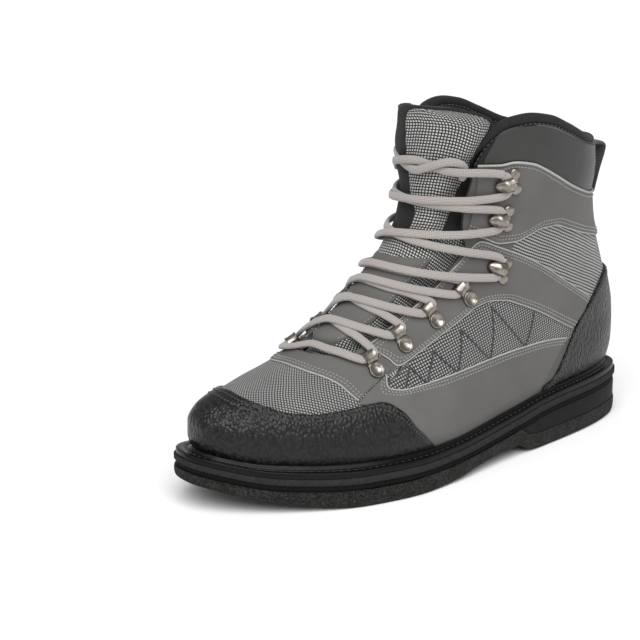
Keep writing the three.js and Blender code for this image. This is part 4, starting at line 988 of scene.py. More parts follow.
# A black thread runs in a zigzag over the outer window, from one of its edges to the other.
# Columns: angle, up
zigzag = [
    (113.5, 0.241), (119.7, 0.302), (107.3, 0.242), (116.1, 0.338), (98.9, 0.251), (110.3, 0.388),
    (87.8, 0.252), (100.8, 0.438), (74.7, 0.245), (78.7, 0.366),
]
for number, (start, stop) in enumerate(zip(zigzag[:-1], zigzag[1:])):
    share = np.linspace(0, 1, 40)
    angle, up = start[0] + (stop[0] - start[0]) * share, start[1] + (stop[1] - start[1]) * share
    points = surface(angle, up, mesh_off + 0.0002)
    edging(f"zigzag_thread_{number + 1}", points, last_normal(angle, up), black_thread, 0.00055)

# Collar panel
# Dark coated microfibre over foam, from the piping up to the collar's edge, sewn down along both.
# The foam swells it a little.
charcoal, node, use = new_finish("charcoal_microfibre", (0.036, 0.038, 0.036), 0.5, sheen=0.05)
cloudy = spots(node, 40.0, 3.0, 0.55)
pores = spots(node, 2400.0, 3.0, 0.7)
use("Base Color", mixed(node, cloudy, (0.021, 0.022, 0.0205), (0.037, 0.038, 0.0355)))
face = calc(node, "ADD", calc(node, "MULTIPLY", pores, 0.4), spots(node, 90.0, 4.0, 0.6))
relief(node, use, face, 0.0003, 0.5)
for side in ("lateral", "medial"):
    rows = []
    for a, b, c, d in ankle_rows:
        share = c / float(throat_angle(np.array(0.96)))
        top = float(collar_up(np.array(min(share, 1.0)))) - collar_room
        rows.append((min(c, 129), d + 0.004, min(c, 129) if c > 10 else 0.0, max(top, d + 0.02)))
    rows = [(0.0, rows[0][1], 0.0, rows[0][3])] + rows
    rows = on_inner_side(rows) if side == "medial" else rows
    pad = panel(
        f"collar_panel_{side}", rows, charcoal, "synthetic", (), lift=-0.0004, crown=0.0012, roll=0.0010
    )

# Tongue
# A padded tongue of black neoprene, sewn in under the vamp. Coarse mesh covers its front, and a grey skin
# over its middle keeps the laces from wearing it.
# Columns: up, half angle, thickness share
tongue_rows = [
    (0.25, 24, 0.45), (0.3, 30, 0.5), (0.36, 38, 0.6), (0.44, 46, 0.75), (0.53, 53, 0.85), (0.62, 58, 0.9),
    (0.72, 57, 1), (0.83, 54, 1), (0.94, 53, 1.1), (1.05, 50, 1.2), (1.11, 46, 1.3), (1.15, 40, 1.3),
    (1.175, 30, 1.2), (1.186, 20, 1.1),
]
tongue_half, tongue_share = column(tongue_rows, 1), column(tongue_rows, 2)
tongue_rise, tongue_puff, tongue_thickness, bulge_reach = 0.0012, 0.0024, 0.005, 0.008


def tongue_middle(up):
    """Angle of the tongue's middle line: its top leans to the outer side."""
    return 180 - 12 * smooth((up - 0.85) / 0.25)


def tongue_off(across, up):
    """Tongue's face: under the upper's wall at its sides, and swelling out through the throat."""
    under = inner_off(up) - 0.0016 * (1 + smooth((up - 0.88) / 0.08))
    edge = (180 - throat_angle(up)) / tongue_half(up)
    out = smooth((up - throat_bottom - 0.004) / 0.036) * smooth((edge + 0.02 - np.abs(across)) / 0.4)
    puff = smooth((across - 0.03) / 0.3) * smooth((0.85 - across) / 0.3) * smooth((up - 0.84) / 0.12)
    return under * (1 - out) + tongue_rise * out + tongue_puff * puff


def tongue_face(angle, up, lift=0.0):
    """A point of the tongue's face at an angle and height, lifted off it."""
    across = (angle - tongue_middle(up)) / tongue_half(up)
    return surface(angle, up, tongue_off(across, up) + lift)


tongue_levels = np.concatenate([np.linspace(0.25, 1.15, 110), np.linspace(1.153, 1.186, 12)])
tongue_across, tongue_ups = np.meshgrid(np.linspace(-1, 1, 91), tongue_levels, indexing="ij")
tongue_angles = tongue_middle(tongue_ups) + tongue_across * tongue_half(tongue_ups)
rim_round = 1 - np.sqrt(np.clip((1.19 - tongue_ups) / 0.022, 0, 1))
rim_drop = 0.0016 * rim_round + 0.0012 * smooth((np.abs(tongue_across) - 0.92) / 0.08)
quilt = 0.0005 * np.sin(tongue_ups * 38) * smooth((tongue_ups - 0.9) / 0.1)
tongue_outer = surface(tongue_angles, tongue_ups, tongue_off(tongue_across, tongue_ups) - rim_drop + quilt)
tongue_depth = tongue_thickness * tongue_share(tongue_ups) * (
    1 - 0.5 * np.abs(tongue_across) ** 3
) - rim_drop
tongue_inner = surface(tongue_angles, tongue_ups, tongue_off(tongue_across, tongue_ups) - tongue_depth)
neoprene, node, use = new_finish("black_neoprene", (0.012, 0.012, 0.0118), 0.85, sheen=0.06, specular=0.12)
knit = spots(node, 1700.0, 3.0, 0.6)
use("Base Color", mixed(node, ranged(node, knit, 0.35, 0.7), (0.008, 0.008, 0.008), (0.026, 0.026, 0.0255)))
relief(
    node, use, calc(node, "ADD", calc(node, "MULTIPLY", knit, 0.5), spots(node, 120.0, 3.0)), 0.0004, 0.6
)
tongue = wall_piece("neoprene_tongue", tongue_outer, tongue_inner)
fit(tongue, [neoprene, neoprene], "neoprene", "tongue")

tongue_mesh = woven_finish(
    "tongue_mesh", (0.008, 0.008, 0.008), (0.5, 0.5, 0.485), 0.0018, 0.0017, ribbed=0.05
)


def tongue_patch(name, rows, finish, slot, lift, depth, roll, step=0.0014, bulge=0.0):
    """A skin on the tongue between two side edges. Columns: up, first angle, second angle."""
    ups = np.linspace(rows[0][0], rows[-1][0], int((rows[-1][0] - rows[0][0]) * upper_height / step * 1.2))
    first, second = column(rows, 1)(ups), column(rows, 2)(ups)
    shares = edge_steps(0.04, 34, roll)
    up, share = np.meshgrid(ups, shares, indexing="ij")
    angle = first[:, None] * (1 - share) + second[:, None] * share
    across, along, edge, down = rolled(tongue_face(angle, up), roll)
    outer = tongue_face(angle, up, lift - down + bulge * smooth(edge / bulge_reach))
    uv = np.stack([across - across[:, -1:] / 2, along], -1)
    piece = wall_piece(name, outer, tongue_face(angle, up, lift - depth), uv=uv)
    return fit(piece, [finish, finish], slot)


tongue_patch(
    "tongue_mesh_low",
    [
        (0.35, 156, 204), (0.4, 142, 218), (0.5, 132, 228), (0.58, 127, 233), (0.66, 126, 234),
        (0.7, 128, 232),
    ],
    tongue_mesh, "mesh", 0.0005, 0.0012, 0.0005,
)
tongue_patch(
    "tongue_mesh_high",
    [
        (0.69, 148, 172), (0.736, 145.5, 170), (0.78, 145, 170), (0.82, 144.5, 175), (0.86, 143, 179),
        (0.914, 139, 181), (0.973, 135, 182), (1.02, 132, 181.5), (1.07, 129, 181), (1.12, 127, 180.5),
        (1.15, 131, 179.5), (1.17, 141, 177), (1.177, 150, 174),
    ],
    tongue_mesh, "mesh", 0.0008, 0.0016, 0.0006, bulge=0.0006,
)
strip_rows = [
    (0.375, 166, 194), (0.385, 160, 200), (0.41, 156, 204), (0.45, 152, 208), (0.5, 149.5, 210),
    (0.55, 147.5, 211), (0.6, 144, 212), (0.628, 143, 212),
]
tongue_patch("tongue_skin", strip_rows, microfibre, "synthetic", 0.0012, 0.0016, 0.0006, bulge=0.0004)
strip_ups = np.linspace(strip_rows[1][0], strip_rows[-1][0] - 0.008, 300)
for k, side in ((1, "lateral"), (2, "medial")):
    strip_edge = column(strip_rows, k)(strip_ups) + (3.0 if k == 1 else -3.0)
    points, normals = tongue_face(strip_edge, strip_ups, 0.0013), last_normal(strip_edge, strip_ups)
    stitch_row(f"strip_seam_{side}", points, normals, grey_thread, radius=0.00032)

# Collar binding
# A roll of black knitted cloth over foam, laid round the collar's edge from one side of the throat to the
# other. It closes the raw edges of shell and lining, and a row of stitches holds it on either side.
bind_points = 361
shares = np.linspace(1, -1, bind_points)
edge_share = np.abs(shares)
bind_up = collar_up(edge_share) - collar_room
bind_angle = np.where(shares >= 0, 1, -1) * edge_share * throat_angle(bind_up)
bind_normal = last_normal(bind_angle, bind_up)
bind_line = surface(bind_angle, bind_up, (inner_off(bind_up) - skin_depth) / 2)
bind_along = unit(np.gradient(bind_line, axis=0))
bind_out = unit(np.cross(bind_normal, bind_along))
bind_out *= np.sign(bind_out[:, 2:] + 0.2)
bind_roll = round_section(0.0066, 0.0064, 20)
bind_centre = bind_line + bind_out * 0.0030
ends = np.clip(np.minimum(np.arange(bind_points), np.arange(bind_points)[::-1]) / 6, 0.35, 1)
bind_across, bind_section = unit(np.cross(bind_along, bind_out)), bind_roll * ends[:, None, None]
binding = swept_piece("binding_roll", bind_centre, bind_across, bind_out, bind_section)
fit(binding, neoprene, "neoprene", "collar_binding")
for way, side in ((1, "outside"), (-1, "inside")):
    outward = bind_normal * way
    seam_points = bind_line + outward * 0.0036 + bind_out * 0.0006
    stitch_row(
        f"binding_seam_{side}", seam_points, outward, black_thread, 0.0032, 0.0024, 0.00034, "neoprene"
    )


# Pull loop
# A strip of ribbed black webbing. It is sewn low on the back, stands off it far enough for a finger and is
# sewn in again just below the collar's binding.
loop_reach, loop_width, loop_thickness = 0.011, 0.018, 0.002


def flowing(points, count):
    """Dense points of a smooth line: cubic pieces, with knots at square roots of the steps."""
    points = np.asarray(points, float)
    knots = np.sqrt(np.linalg.norm(np.diff(points[:, :3], axis=0), axis=1))
    knots = np.concatenate([[0], np.cumsum(knots)])
    steps = np.diff(knots)[:, None]
    rises = np.diff(points, axis=0) / steps
    inner = (rises[:-1] * steps[1:] + rises[1:] * steps[:-1]) / (steps[1:] + steps[:-1])
    slopes = np.concatenate([rises[:1], inner, rises[-1:]])
    at = np.linspace(0, knots[-1], count)
    i = np.clip(np.searchsorted(knots, at, side="right") - 1, 0, len(steps) - 1)
    h = steps[i]
    t = (at[:, None] - knots[i][:, None]) / h
    ease = t * t * (3 - 2 * t)
    bend = t * (1 - t) ** 2 * slopes[i] + t * t * (t - 1) * slopes[i + 1]
    return points[i] * (1 - ease) + points[i + 1] * ease + h * bend


def evened(line, count):
    """The same line with its points at even lengths. Columns after the third are carried along."""
    return along_path(line, np.linspace(0, path_length(line[:, :3]), count))


# Columns: share of the reach off the back, up
loop_route = [
    (-0.02, 0.75), (0.22, 0.785), (0.6, 0.85), (0.95, 0.912), (1, 0.938), (0.78, 0.952), (0.3, 0.951),
    (-0.29, 0.944),
]
loop_points = np.array(
    [
        last_point(0, min(up, 0.9)) * [1, 1, 0]
        + [0, 0.0003 + loop_thickness / 2 + out * loop_reach, last_point(0, up)[2]]
        for out, up in loop_route
    ]
)
loop_line = evened(flowing(loop_points, 300), 140)
loop_along = unit(np.gradient(loop_line, axis=0))
loop_out = unit(np.cross([1.0, 0, 0], loop_along))
turn = np.arange(28) / 28 * 2 * np.pi
webbing_section = np.stack(
    [
        np.sign(np.cos(turn)) * np.abs(np.cos(turn)) ** 0.35 * loop_width / 2,
        np.sign(np.sin(turn)) * np.abs(np.sin(turn)) ** 0.6 * loop_thickness / 2,
    ],
    -1,
)
webbing, node, use = new_finish("ribbed_webbing", (0.02, 0.02, 0.02), 0.85, sheen=0.3)
strip_uv = node("ShaderNodeSeparateXYZ", {0: node("ShaderNodeUVMap", uv_map="surface")}, 1)
ribs = calc(node, "SINE", calc(node, "MULTIPLY", strip_uv, 2 * math.pi / 0.0016))
rib_share = ranged(node, ribs, -0.8, 0.8)
weave = spots(node, 1600.0, 3.0)
rib_tone = calc(node, "MULTIPLY", rib_share, ranged(node, weave, 0.3, 0.7, 0.4, 1.0))
use("Base Color", mixed(node, rib_tone, (0.006, 0.006, 0.006), (0.045, 0.045, 0.045)))
relief(node, use, rib_share, 0.0003, 0.8)
loop_across = np.tile([1.0, 0, 0], (len(loop_line), 1))
pull_loop = swept_piece("webbing_loop", loop_line, loop_across, loop_out, webbing_section)
fit(pull_loop, webbing, "webbing", "pull_loop")
loop_face = loop_out[:30] * np.sign(loop_out[:1, 1:2])
for way, side in ((-1, "left"), (1, "right")):
    seam_points = loop_line[:30] + [way * 0.0068, 0, 0] + loop_face * loop_thickness / 2
    stitch_row(f"loop_seam_{side}", seam_points, loop_face, black_thread, slot="webbing")

# Eyelets and hooks
# Stamped steel, plated in dark nickel and tumbled dull. Four saddles a side are riveted through the eyestay
# and hold the lace in a short tunnel; above them are three hooks with a rounded hood and two domed rivets
# each.
nickel, node, use = new_finish("aged_nickel", (0.5, 0.47, 0.43), 0.3, metallic=1.0, specular=0.5)
patina = spots(node, 420.0, 4.0, 0.65)
use("Base Color", mixed(node, ranged(node, patina, 0.3, 0.7), (0.17, 0.153, 0.132), (0.36, 0.335, 0.3)))
use("Roughness", ranged(node, patina, 0.3, 0.7, 0.36, 0.24))
relief(node, use, spots(node, 350.0, 3.0), 0.00005, 0.25)
# Near-black finish of the cups in the drain holes: painted shade for the shadow inside each hole.
painted_hole_shade, node, use = new_finish("painted_hole_shade", (0.012, 0.012, 0.011), 0.5, metallic=0.4)
relief(node, use, spots(node, 900.0, 2.0), 0.0001, 0.5)

# Columns: the rivet's angle and up, angle and up of the point that the lace's side looks at
eyelet_places = [
    (131, 0.302, 140.9, 0.342), (129.4, 0.366, 136.6, 0.401), (123.1, 0.428, 130.4, 0.468),
    (113.2, 0.483, 121, 0.525),
]
hook_places = [
    ("lock_hook", (102.5, 0.56, 114, 0.595)), ("speed_hook_low", (112, 0.755, 122, 0.757)),
    ("speed_hook_high", (112.3, 0.899, 122, 0.886))
]
rivet_radius, tunnel_radius, tunnel_length = 0.0047, 0.0041, 0.0065
tunnel_distance = rivet_radius + tunnel_radius - 0.0004


def holder_frame(place, medial, off):
    """Axes of an eyelet or hook: z off the surface, y from its rivet to the throat, x along the tunnel."""
    angle, up, aim_angle, aim_up = place
    if medial:
        angle, aim_angle = 360 - angle, 360 - aim_angle
    z = last_normal(angle, up)
    x = unit(np.cross(last_point(aim_angle, aim_up) - last_point(angle, up), z))
    return np.column_stack([x, np.cross(z, x), z]), surface(angle, up, off)


def joined(name, parts, frame_of, finish, slot, *nodes):
    """Several closed grids as one piece, each turned outwards by itself and set in a holder's own frame."""
    points, faces, count = [], [], 0
    for grid_points, quads in parts:
        faces.append(turned_out(grid_points, quads) + count)
        points.append(grid_points)
        count += len(grid_points)
    axes, origin = frame_of
    whole = mesh_object(name, np.concatenate(points) @ axes.T + origin, np.concatenate(faces))
    return fit(whole, finish, slot, *nodes)


def spun(radii, heights, shift=(0, 0, 0), count=28):
    """A closed ring or dome spun round z, moved by shift."""
    turn = np.arange(count) / count * 2 * np.pi
    grid = [np.outer(np.cos(turn), radii), np.outer(np.sin(turn), radii), np.tile(heights, (count, 1))]
    return np.stack(grid, -1).reshape(-1, 3) + np.asarray(shift), grid_quads(count, len(radii), True, True)


def shell(outer, inner):
    """A closed wall between two grids, as points and quads."""
    rows, cols = outer.shape[:2]
    k = rows * cols
    n = np.arange(k).reshape(rows, cols)
    faces = [grid_quads(rows, cols)]
    faces.append(faces[0][:, ::-1] + k)
    for rim in (n[0], n[-1][::-1], n[:, 0][::-1], n[:, -1]):
        faces.append(np.stack([rim[1:], rim[:-1], rim[:-1] + k, rim[1:] + k], -1))
    return np.concatenate([outer.reshape(-1, 3), inner.reshape(-1, 3)]), np.concatenate(faces)


# A ring is a rolled rim round a hole. The dish in it is the rivet's head.
ring_radii = np.array([3.4, 3.5, 3.65, 3.85, 4.05, 4.3, 4.5, 4.6, 4.6, 4.3]) / 1000
ring_heights = np.array([0.1, 0.9, 1.4, 1.75, 1.85, 1.75, 1.45, 0.8, 0.1, -0.4]) / 1000

dish_radii = np.array([0.05, 0.9, 1.6, 2.2, 2.8, 3.3, 3.6, 3.6, 0.05]) / 1000
dish_heights = np.array([0.3, 0.33, 0.45, 0.66, 0.98, 1.3, 1.4, -0.4, -0.4]) / 1000


def saddle():
    """Half a tube over the lace: its mouths flare a little and its feet reach under the eyestay's face."""
    x, turn = np.meshgrid(np.linspace(-1, 1, 21), np.linspace(-8, 188, 29), indexing="ij")
    flare = 1 + 0.10 * np.abs(x) ** 4

    def tube(radius):
        return np.stack(
            [
                x * tunnel_length / 2 * (1 + 0.12 * np.sin(np.radians(np.clip(turn, 0, 180)))),
                tunnel_distance + np.cos(np.radians(turn)) * radius * flare,
                np.sin(np.radians(turn)) * radius * flare,
            ],
            -1,
        )
    return shell(tube(tunnel_radius), tube(tunnel_radius - 0.0007))


def neck():
    """The flat tongue of metal between ring and saddle."""
    s, t = np.meshgrid(np.linspace(0, 1, 9), np.linspace(-1, 1, 9), indexing="ij")
    y = 0.0028 + s * 0.0032
    half = 0.0036 - 0.0004 * np.sin(s * np.pi)
    top = np.stack([t * half, y, 0.0010 + 0.0005 * s * (1 - t**2)], -1)
    return shell(top, top - [0, 0, 0.0012])


metal_lift, hook_lift = 0.0004, 0.0006
for medial, side in ((False, "lateral"), (True, "medial")):
    for number, place_row in enumerate(eyelet_places):
        axes_place = holder_frame(place_row, medial, metal_lift + 0.0001)
        parts = [spun(ring_radii, ring_heights), saddle(), neck()]
        joined(
            f"saddle_eyelet_{side}_{number + 1}", parts, axes_place, nickel, "metal",
            f"eyelet_{side}_{number + 1}"
        )
        dish = [spun(dish_radii, dish_heights, count=24)]
        joined(f"rivet_head_{side}_{number + 1}", dish, axes_place, nickel, "metal")

hook_reach, stud_spread = 0.0122, 0.0046
dome_radii = np.array([0.05, 0.9, 1.7, 2.4, 2.9, 3.22, 3.38, 3.42, 3.35, 2.8, 2.8]) / 1000
dome_heights = np.array([1.35, 1.33, 1.24, 1.1, 0.9, 0.68, 0.45, 0.25, 0.1, 0.0, -0.5]) / 1000


def hood():
    """A hood like half a bullet: open at its back over the lace, closing to a rounded nose at the throat."""
    s, turn = np.meshgrid(
        np.sin(np.linspace(0, 1, 24) * np.pi / 2), np.linspace(-90, 90, 25), indexing="ij"
    )
    y = 0.0018 + s * (hook_reach - 0.0018)
    closing = np.sqrt(np.clip(1 - np.clip((s - 0.25) / 0.75, 0, 1) ** 2.1, 0, 1))
    ears = 0.0003 * (1 - smooth(s / 0.2))
    foot = 0.0023 * (1 - smooth((s - 0.45) / 0.4)) + 0.0006

    def skin(inset):
        half = np.maximum(0.0041 * closing + ears - inset, 0.0001)
        rise = np.maximum(0.0042 * closing**0.8 - inset, 0.0001)
        bow = np.cos(np.radians(turn)) ** 0.85
        return np.stack([np.sin(np.radians(turn)) * half, y - inset * s, foot + bow * rise], -1)

    return shell(skin(0.0), skin(0.0006))


def hook_plate():
    """The riveted plate: two round lobes under the rivets and a neck that runs on under the hood."""
    s, t = np.meshgrid(np.linspace(0, 1, 24), np.linspace(-1, 1, 17), indexing="ij")
    y = -0.0026 + s * (hook_reach + 0.0018)
    wide = stud_spread + 0.0010
    half = np.where(s < 0.42, wide * np.clip(1 - ((s - 0.19) / 0.23) ** 4, 0.0, 1) ** 0.4, 0)
    half = np.maximum(half, 0.0031 - 0.0012 * s)
    top = np.stack([t * half, y, np.full(s.shape, 0.0007)], -1)
    return shell(top, top - [0, 0, 0.0011])


for medial, side in ((False, "lateral"), (True, "medial")):
    for hook_name, place_row in hook_places:
        axes_place = holder_frame(place_row, medial, hook_lift)
        parts = [
            hook_plate(),
            hood(),
            spun(dome_radii, dome_heights + 0.0007, (-stud_spread, -0.0012, 0)),
            spun(dome_radii, dome_heights + 0.0007, (stud_spread, -0.0012, 0)),
        ]
        joined(f"hooded_{hook_name}_{side}", parts, axes_place, nickel, "metal", f"{hook_name}_{side}")

# Drain eyelets
# Two plated rings set low in the inner quarter let the water out. Each is closed over the cloth like an
# eyelet. A dark cup in each ring's hole is painted shade: it stands for the shadow inside the hole.
for number, (angle, up) in enumerate([(285, 0.21), (300, 0.2)]):
    z = last_normal(angle, up)
    x = unit(np.cross([0.0, 0.0, 1.0], z))
    axes_place = (np.column_stack([x, np.cross(z, x), z]), surface(angle, up, -0.0002))
    parts = [spun(ring_radii * 0.86, ring_heights * 0.7, count=32)]
    joined(f"drain_ring_{number + 1}", parts, axes_place, nickel, "metal", f"drain_eyelet_{number + 1}")
    # A dark cup sunk in the ring's hole: painted shade, standing for the shadow inside the hole.
    well = [spun([0.0001, 0.0026, 0.0029, 0.0029, 0.0001], [0.0, 0.0, 0.0001, -0.0008, -0.0008], count=20)]
    joined(f"drain_hole_shade_{number + 1}", well, axes_place, painted_hole_shade, "metal")

# Lace
# One braided cord, a little flat, with fine ribs along it. It starts as a bar between the lowest eyelets,
# crosses the tongue from each tunnel to the next one up on the other side, and turns round behind every
# hook.
lace_width, lace_thickness, lace_room = 0.0048, 0.0022, 0.00175
lace_low = tongue_rise + lace_room + lace_thickness / 2
lace_high = lace_low + lace_thickness - 0.0002
# Columns: up, how far a strand's middle stands above its ends, as it takes the short way over the instep
bow_rows = [(0.36, 0.042), (0.5, 0.042), (0.62, 0.028), (0.78, 0.006), (1, 0)]


def surface_place(point, angle, up):
    """Angle, up and offset of a point near the last: Newton steps along the surface from a first guess."""
    for _ in range(8):
        miss = point - last_point(angle, up)
        turned = last_point(angle + 0.5, up) - last_point(angle - 0.5, up)
        risen = (last_point(angle, up + 0.003) - last_point(angle, up - 0.003)) / 0.006
        aa, ab, bb = turned @ turned, turned @ risen, risen @ risen
        am, bm = turned @ miss, risen @ miss
        scale = aa * bb - ab * ab
        angle, up = angle + (bb * am - ab * bm) / scale, up + (aa * bm - ab * am) / scale
    return np.array([angle, up, (point - last_point(angle, up)) @ last_normal(angle, up)])


tunnel_middle = (tunnel_length / 2, tunnel_distance, 0.00175)
holder_list = [(place_row, metal_lift, tunnel_middle, True) for place_row in eyelet_places]
holder_list += [(place_row, hook_lift, (0.0035, 0.0066, 0.0034), False) for _, place_row in hook_places]


def local_point(level, medial, x, y, z):
    """A point given in a holder's own frame, with the holder's outward direction."""
    place_row, off, _, _ = holder_list[level]
    axes, origin = holder_frame(place_row, medial, off)
    return np.concatenate([axes @ [x, y, z] + origin, axes[:, 2]])


def upper_way(level, medial):
    """Which way along a holder's tunnel is up: +1 or -1."""
    place_row, off, _, _ = holder_list[level]
    axes, _ = holder_frame(place_row, medial, off)
    return 1 if axes[2, 0] > 0 else -1


def mouth(level, medial, is_upper):
    """Where the lace leaves a holder, as angle, up and offset."""
    place_row, _, (half, forward, out), _ = holder_list[level]
    way = upper_way(level, medial) * (1 if is_upper else -1)
    point = local_point(level, medial, way * (half + lace_width / 2 + 0.0009), forward + 0.004, out)[:3]
    aim = 360 - place_row[2] if medial else place_row[2]
    return surface_place(point, aim, place_row[3])


def through(level, medial):
    """The lace's way up through a holder: straight in a tunnel, a turn behind a hook's hood."""
    way = upper_way(level, medial)
    _, _, (half, forward, out), tunnel = holder_list[level]
    if tunnel:
        bends = [(-1.25, 0.0006, 0.0), (-0.5, 0.0, 0.0), (0.5, 0.0, 0.0), (1.25, 0.0006, 0.0)]
        return [local_point(level, medial, way * k * half, forward + y, out + z) for k, y, z in bends]
    bends = [
        (-1.75, 0.0075), (-1.45, 0.0048), (-0.75, 0.0034), (0, 0.0030), (0.75, 0.0034), (1.45, 0.0048),
        (1.75, 0.0075),
    ]
    return [local_point(level, medial, way * k * half, y, 0.0021) for k, y in bends]


def strand(start, end, middle_off):
    """Points over the tongue between two mouths: the offset eases to middle_off, and the middle bows up."""
    t = np.linspace(0, 1, 9)[1:-1]
    angle, up, off = (start[:, None] * (1 - t) + end[:, None] * t)
    inside = smooth(np.minimum(t, 1 - t) / 0.35)
    up = up + column(bow_rows, 1)(up) * np.sin(np.pi * t)
    points = surface(angle, up, off * (1 - inside) + middle_off * inside)
    return [np.concatenate([p, n]) for p, n in zip(points, last_normal(angle, up))]


def half_lace(first_medial):
    """From the lowest eyelet of one side up to a top hook, changing sides at each level."""
    medial, route = first_medial, []
    for level in range(len(holder_list)):
        route += through(level, medial)
        if level < len(holder_list) - 1:
            off = lace_high if medial else lace_low
            route += strand(mouth(level, medial, True), mouth(level + 1, not medial, False), off)
        medial = not medial
    return route


bar = strand(mouth(0, False, False), mouth(0, True, False), lace_low - 0.0023)
route = half_lace(False)[::-1] + bar + half_lace(True)
lace_lined = evened(flowing(np.array(route), 4000), 2200)
lace_line, lace_frames = lace_lined[:, :3], line_frames(lace_lined[:, :3], lace_lined[:, 3:])
turn = np.arange(36) / 36 * 2 * np.pi
braid_section = np.stack(
    [np.cos(turn) * lace_width / 2, np.sign(np.sin(turn)) * np.abs(np.sin(turn)) ** 0.8 * 0.00135], -1
)
braid, node, use = new_finish("grey_braid", (0.33, 0.31, 0.285), 0.8, sheen=0.3)
round_share, long_share = (
    node("ShaderNodeSeparateXYZ", {0: node("ShaderNodeUVMap", uv_map="surface")}, axis) for axis in (0, 1)
)
ribs = calc(node, "SINE", calc(node, "MULTIPLY", round_share, 2 * math.pi * 16))
plait_turn = calc(node, "MULTIPLY", long_share, 2 * math.pi / 0.0011)
plaits = calc(node, "SINE", calc(node, "ADD", plait_turn, calc(node, "MULTIPLY", ribs, 0.9)))
rib_part = calc(node, "MULTIPLY", ranged(node, ribs, -1.0, 1.0), 0.62)
plait_part = calc(node, "MULTIPLY", ranged(node, plaits, -1.0, 1.0), 0.38)
plait = calc(node, "ADD", rib_part, plait_part)
use("Base Color", mixed(node, plait, (0.19, 0.172, 0.162), (0.42, 0.388, 0.368)))
relief(node, use, plait, 0.00022, 0.9)
lace = swept_piece("braided_lace", lace_line, *lace_frames, braid_section)
fit(lace, braid, "lace", "lace_bar", *[f"lace_crossing_{k}" for k in range(1, 7)])

# Footbed
# A thin sheet of foam covered with dark knitted cloth. It is cut to the inside of the upper and lies loose
# on the midsole.
cloth = flecked(
    "footbed_cloth", (0.012,) * 3, (0.05, 0.05, 0.049), 900.0, 0.0003, 0.7, roughness=0.9, sheen=0.2
)
bed_angles = np.linspace(0, 360, 121)[:-1]
bed_share = np.concatenate([np.linspace(0, 0.9, 12), [0.95, 0.98, 1.0]])
bed_rim = surface(bed_angles, 0.03, inner_off(0.03) - 0.0008)
bed_along = 0.5 - bed_rim[:, 1] / sole_length
bed_centre = np.stack([swing(bed_along) - centre, bed_rim[:, 1] * spine_reach, 0 * bed_along], -1)
bed_top = bed_centre[:, None] * (1 - bed_share[:, None]) + bed_rim[:, None] * bed_share[:, None]
bed_under = bed_top.copy()
bed_level = midsole_top(0.5 - bed_top[..., 1] / sole_length)
bed_top[..., 2] = bed_level + 0.0036 - 0.0006 * smooth((bed_share - 0.9) / 0.1)
bed_under[..., 2] = bed_level + 0.0003
footbed = wall_piece(
    "cloth_footbed", np.concatenate([bed_top, bed_top[:1]]), np.concatenate([bed_under, bed_under[:1]])
)
fit(footbed, [cloth, cloth], "insole", "insole")

# Knot
# The lace's two ends leave the top hooks, pass round each other in a half knot over the tongue, and are
# tucked away at its sides.
# Columns: angle, up, offset in millimetres
lateral_end = [
    (119.5, 0.938, 4.2), (125, 0.944, 4.4), (132, 0.947, 4.8), (139, 0.948, 5.6), (146, 0.949, 5.4),
    (152, 0.952, 4.2), (157.5, 0.96, 3.1), (163, 0.972, 3.2), (170, 0.981, 3.7), (178, 0.981, 4.8),
    (187, 0.972, 5.9), (196, 0.959, 5.1), (204, 0.941, 3.8), (209, 0.921, 3.2),
]
medial_end = [
    (240.5, 0.938, 4.2), (232, 0.955, 3.9), (220, 0.975, 3.5), (209, 0.986, 3.3), (199, 0.982, 3.1),
    (189, 0.964, 3), (180, 0.951, 3.2), (171, 0.946, 4.9), (163, 0.96, 5.8), (157, 0.975, 6.2),
    (150, 0.987, 5.4), (143.5, 0.982, 4), (140.5, 0.965, 2.6), (140.6, 0.94, 1.9), (141.4, 0.912, 1.9),
]
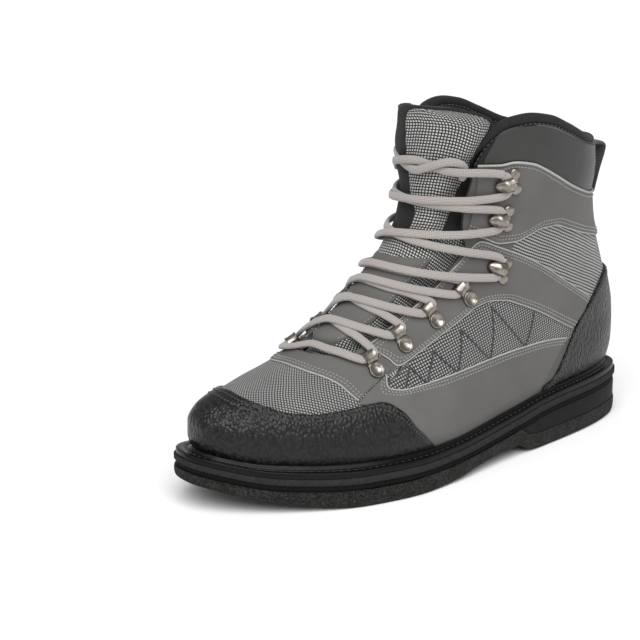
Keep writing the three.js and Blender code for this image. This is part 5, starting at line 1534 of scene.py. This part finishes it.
for side, table in (("lateral", lateral_end), ("medial", medial_end)):
    angle, up, off = np.array(table, float).T
    lined = np.concatenate([surface(angle, up, off / 1000), last_normal(angle, up)], axis=1)
    lined = evened(flowing(lined, 600), 260)
    line, frames = lined[:, :3], line_frames(lined[:, :3], lined[:, 3:])
    section = braid_section[None] * np.clip(np.arange(260)[::-1] / 3, 0.7, 1)[:, None, None]
    end_piece = swept_piece(f"lace_tail_{side}", line, *frames, section)
    fit(end_piece, braid, "lace", f"lace_end_{side}")
    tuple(line[0])
    path_length(line)

# Floor and light
# A wide pale sheet in an even studio light: one very soft light from high up on the outer side, two weak
# lamps beside and in front of the boot, and pale walls all round.
paper, node, use = new_finish("pale_paper", (0.97, 0.97, 0.97), 0.9)
floor_across, floor_along = np.meshgrid(np.linspace(-20, 20, 7), np.linspace(-20, 20, 7), indexing="ij")
floor_points = np.stack([floor_across, floor_along, np.full((7, 7), -0.0002)], -1).reshape(-1, 3)
floor = mesh_object("floor", floor_points, grid_quads(7, 7)[:, ::-1])
floor.data.materials.append(paper)
floor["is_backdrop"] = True


def soft_light(name, place, aim, size, power):
    """An area light that faces a point."""
    data = bpy.data.lights.new(name, "AREA")
    data.shape, data.size, data.energy = "DISK", size, power
    lamp = bpy.data.objects.new(name, data)
    bpy.context.scene.collection.objects.link(lamp)
    to_lamp = unit(np.subtract(place, aim))
    side = unit(np.cross([0.0, 0.3, 1.0], to_lamp))
    lamp.matrix_world = standing(side, np.cross(to_lamp, side), to_lamp, place)


soft_light("side_light", (1.1, -0.1, 0.6), (0, 0, 0.1), 0.7, 2.5)
soft_light("front_light", (-0.2, -1.2, 0.9), (0, 0, 0.08), 0.6, 1.4)
sky_data = bpy.data.lights.new("ceiling_light", "SUN")
sky_data.energy, sky_data.angle = 2.75, math.radians(50)
sky = bpy.data.objects.new("ceiling_light", sky_data)
bpy.context.scene.collection.objects.link(sky)
to_sky = unit([0.6, -0.5, 1.0])
sky_side = unit(np.cross([0.0, 1.0, 0.0], to_sky))
sky.matrix_world = standing(sky_side, np.cross(to_sky, sky_side), to_sky, [0, 0, 2])
room = bpy.data.worlds.new("room")
room.use_nodes = True
room.node_tree.nodes["Background"].inputs["Color"].default_value = (1, 1, 1, 1)
room.node_tree.nodes["Background"].inputs["Strength"].default_value = 0.4
bpy.context.scene.world = room
bpy.context.scene.view_settings.view_transform = "Standard"

boxes = {"cad": cad_box, "model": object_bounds()}
{name: [[float(x) for x in corner] for corner in box] for name, box in boxes.items()}
